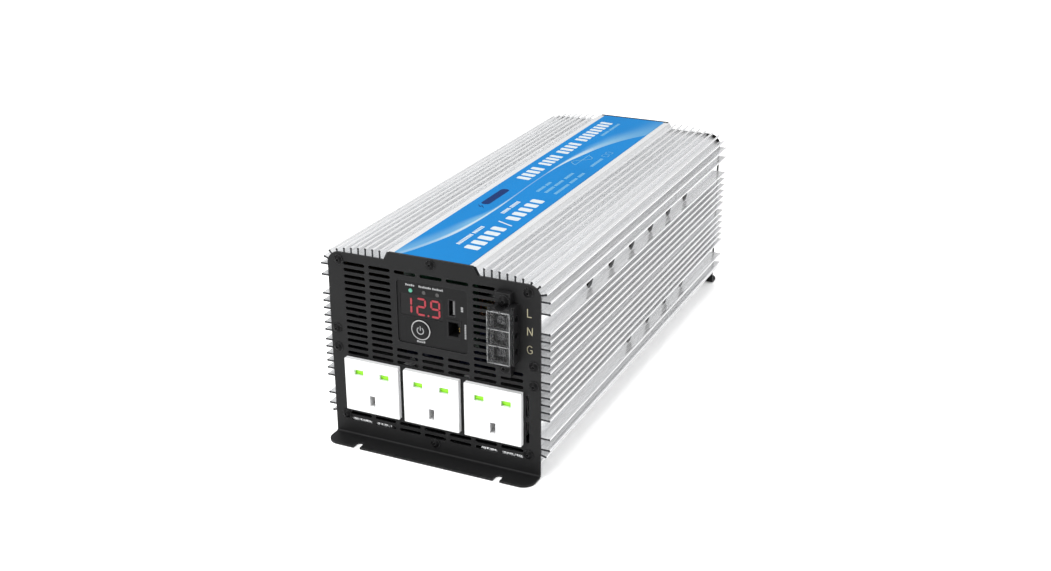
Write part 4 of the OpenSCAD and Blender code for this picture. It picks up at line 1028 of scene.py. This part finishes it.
def threaded(s, x, z, y0, y1):
    """A rod along Y with one helical thread that runs out at its far end."""
    steps, per_turn = 40, 8
    rows = int((y1 - y0) / (THREAD_PITCH * MM) * per_turn)
    verts, faces = [], []
    for i in range(rows + 1):
        y = y0 + (y1 - y0) * i / rows
        ease = min(1.0, (y1 - y) / (1.1 * MM))
        for k in range(steps):
            a = 2 * math.pi * k / steps
            phase = ((y - y0) / (THREAD_PITCH * MM) - k / steps) % 1.0
            groove = 1 - abs(2 * phase - 1)
            r = STUD_R - THREAD_DEPTH * min(1.0, groove * 1.25) - (1 - ease) * 0.7
            verts.append((x + r * MM * math.cos(a), y, z + r * MM * math.sin(a)))
    for i in range(rows):
        for k in range(steps):
            j = (k + 1) % steps
            faces.append((i * steps + k, i * steps + j, (i + 1) * steps + j, (i + 1) * steps + k))
    faces.append(tuple(range(steps)))
    faces.append(tuple(rows * steps + k for k in range(steps)))
    s.add(verts, faces)


stud_lo, stud_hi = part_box("battery_studs")
stud_z = (stud_lo.z + stud_hi.z) / 2
PLUS_X, MINUS_X = centre("collar_positive").x, centre("collar_negative").x
studs = Shapes()
for x in (MINUS_X, PLUS_X):
    threaded(studs, x, stud_z, stud_lo.y + (HEAD_T - 0.1) * MM, stud_hi.y)
    turns = [math.radians(60 * k + 30) for k in range(6)]
    r = HEAD_R * MM
    head = [(x + r * math.sin(a), stud_lo.y, stud_z + r * math.cos(a)) for a in turns]
    studs.prism(head, (0, HEAD_T * MM, 0))
stud_piece = studs.piece("stud_threads", LOOK["brass"], CASE, "brass")
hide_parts("battery_studs")

# marks on the rear panel: signs over the studs and the earth sign over its screw
SIGN_H, REAR_INK = 2.8, 0.05 * MM
SIGN_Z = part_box("collar_positive")[1].z / MM + 4.2
EARTH_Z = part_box("ground_screw")[1].z / MM + 8.0
EARTH = [[(0, 0), (0, -3.0)], [(-3, -3.0), (3, -3.0)], [(-2, -4.5), (2, -4.5)], [(-1, -6.0), (1, -6.0)]]
rear_marks = Shapes()


def rear_line(line, x, z, width):
    """A line of (x, z) points in millimetres, drawn on the rear panel from the point x, z."""
    for part in stroke([(p[0] + x, p[1] + z) for p in line], width):
        outline = [(p[0] * MM, REAR_Y - 0.01 * MM, p[1] * MM) for p in part]
        rear_marks.prism(outline, (0, REAR_INK, 0))


level_bar = [(-SIGN_H, 0), (SIGN_H, 0)]
rear_line(level_bar, PLUS_X / MM, SIGN_Z, 1.1)
rear_line([(0, -SIGN_H), (0, SIGN_H)], PLUS_X / MM, SIGN_Z, 1.1)
rear_line(level_bar, MINUS_X / MM, SIGN_Z, 1.1)
for line in EARTH:
    rear_line(line, 0, EARTH_Z, 0.7)
rear_marks.piece("rear_marks", ink_grey, CASE, "black_panel")

# ---------- stage, light and camera ----------

FLOOR_HALF, FLOOR_Z = 14.0, -0.0004
corners = [(-1, -1), (1, -1), (1, 1), (-1, 1)]
floor_mesh = bpy.data.meshes.new("floor")
floor_mesh.from_pydata([(x * FLOOR_HALF, y * FLOOR_HALF, FLOOR_Z) for x, y in corners], [], [(0, 1, 2, 3)])
floor = bpy.data.objects.new("floor", floor_mesh)
bpy.context.scene.collection.objects.link(floor)
floor_look = finish(
    "floor_look", (0.93, 0.93, 0.93), 0.9, spec=0.1, vary=0.004, patch=3.0, grain=60.0, depth=0.0
)
floor_shader = floor_look.node_tree.nodes["Principled BSDF"]
floor_shader.inputs["Emission Color"].default_value = (1.0, 1.0, 1.0, 1.0)
floor_shader.inputs["Emission Strength"].default_value = 0.22
floor_mesh.materials.append(floor_look)

# a soft white surround, brighter overhead
scene = bpy.context.scene
world = bpy.data.worlds.new("studio")
scene.world = world
world.use_nodes = True
sky = world.node_tree
back = sky.nodes["Background"]
sky.links.new(remap(sky, axes(sky, "Generated")["Z"], 0.55, 1.0, -0.1, 0.9), back.inputs["Color"])
back.inputs["Strength"].default_value = 0.85


def softbox(name, place, target, size, power):
    """A rectangular lamp at a place, turned towards the target."""
    light = bpy.data.lights.new(name, "AREA")
    light.shape = "RECTANGLE"
    light.size, light.size_y = size
    light.energy = power
    obj = bpy.data.objects.new(name, light)
    obj.location = place
    obj.rotation_mode = "QUATERNION"
    obj.rotation_quaternion = (Vector(target) - Vector(place)).to_track_quat("-Z", "Y")
    scene.collection.objects.link(obj)


softbox("top_softbox", (-0.25, 0.0, 1.7), (0, 0, 0.1), (1.8, 1.8), 26)
softbox("front_softbox", (-0.7, -1.6, 1.0), (0, -0.1, 0.08), (1.3, 1.0), 20)
softbox("side_softbox", (1.7, 0.1, 0.9), (0, 0, 0.08), (1.2, 1.0), 8.5)

CAM_AZ, CAM_EL, CAM_ROLL = math.radians(24.851), math.radians(22.353), math.radians(-0.118)
CAM_PLACE, CAM_LENS, CAM_SENSOR = (0.44210, -1.00523, 0.51090), 45.976, 36.0
level_x, level_y = math.sin(CAM_AZ) * math.cos(CAM_EL), -math.cos(CAM_AZ) * math.cos(CAM_EL)
backward = Vector((level_x, level_y, math.sin(CAM_EL)))
right = (-backward).cross(Vector((0, 0, 1))).normalized()
up = right.cross(-backward)
rolled_right = right * math.cos(CAM_ROLL) + up * math.sin(CAM_ROLL)
rolled_up = up * math.cos(CAM_ROLL) - right * math.sin(CAM_ROLL)
cam_data = bpy.data.cameras.new("camera")
cam_data.sensor_width = CAM_SENSOR
cam_data.lens = CAM_LENS
cam_data.clip_start, cam_data.clip_end = 0.01, 60.0
camera = bpy.data.objects.new("camera", cam_data)
turn = Matrix((rolled_right, rolled_up, backward)).transposed().to_4x4()
camera.matrix_world = Matrix.Translation(Vector(CAM_PLACE)) @ turn
scene.collection.objects.link(camera)
scene.camera = camera
scene.view_settings.view_transform = "Standard"
scene.view_settings.look = "None"
scene.view_settings.exposure = 0.0
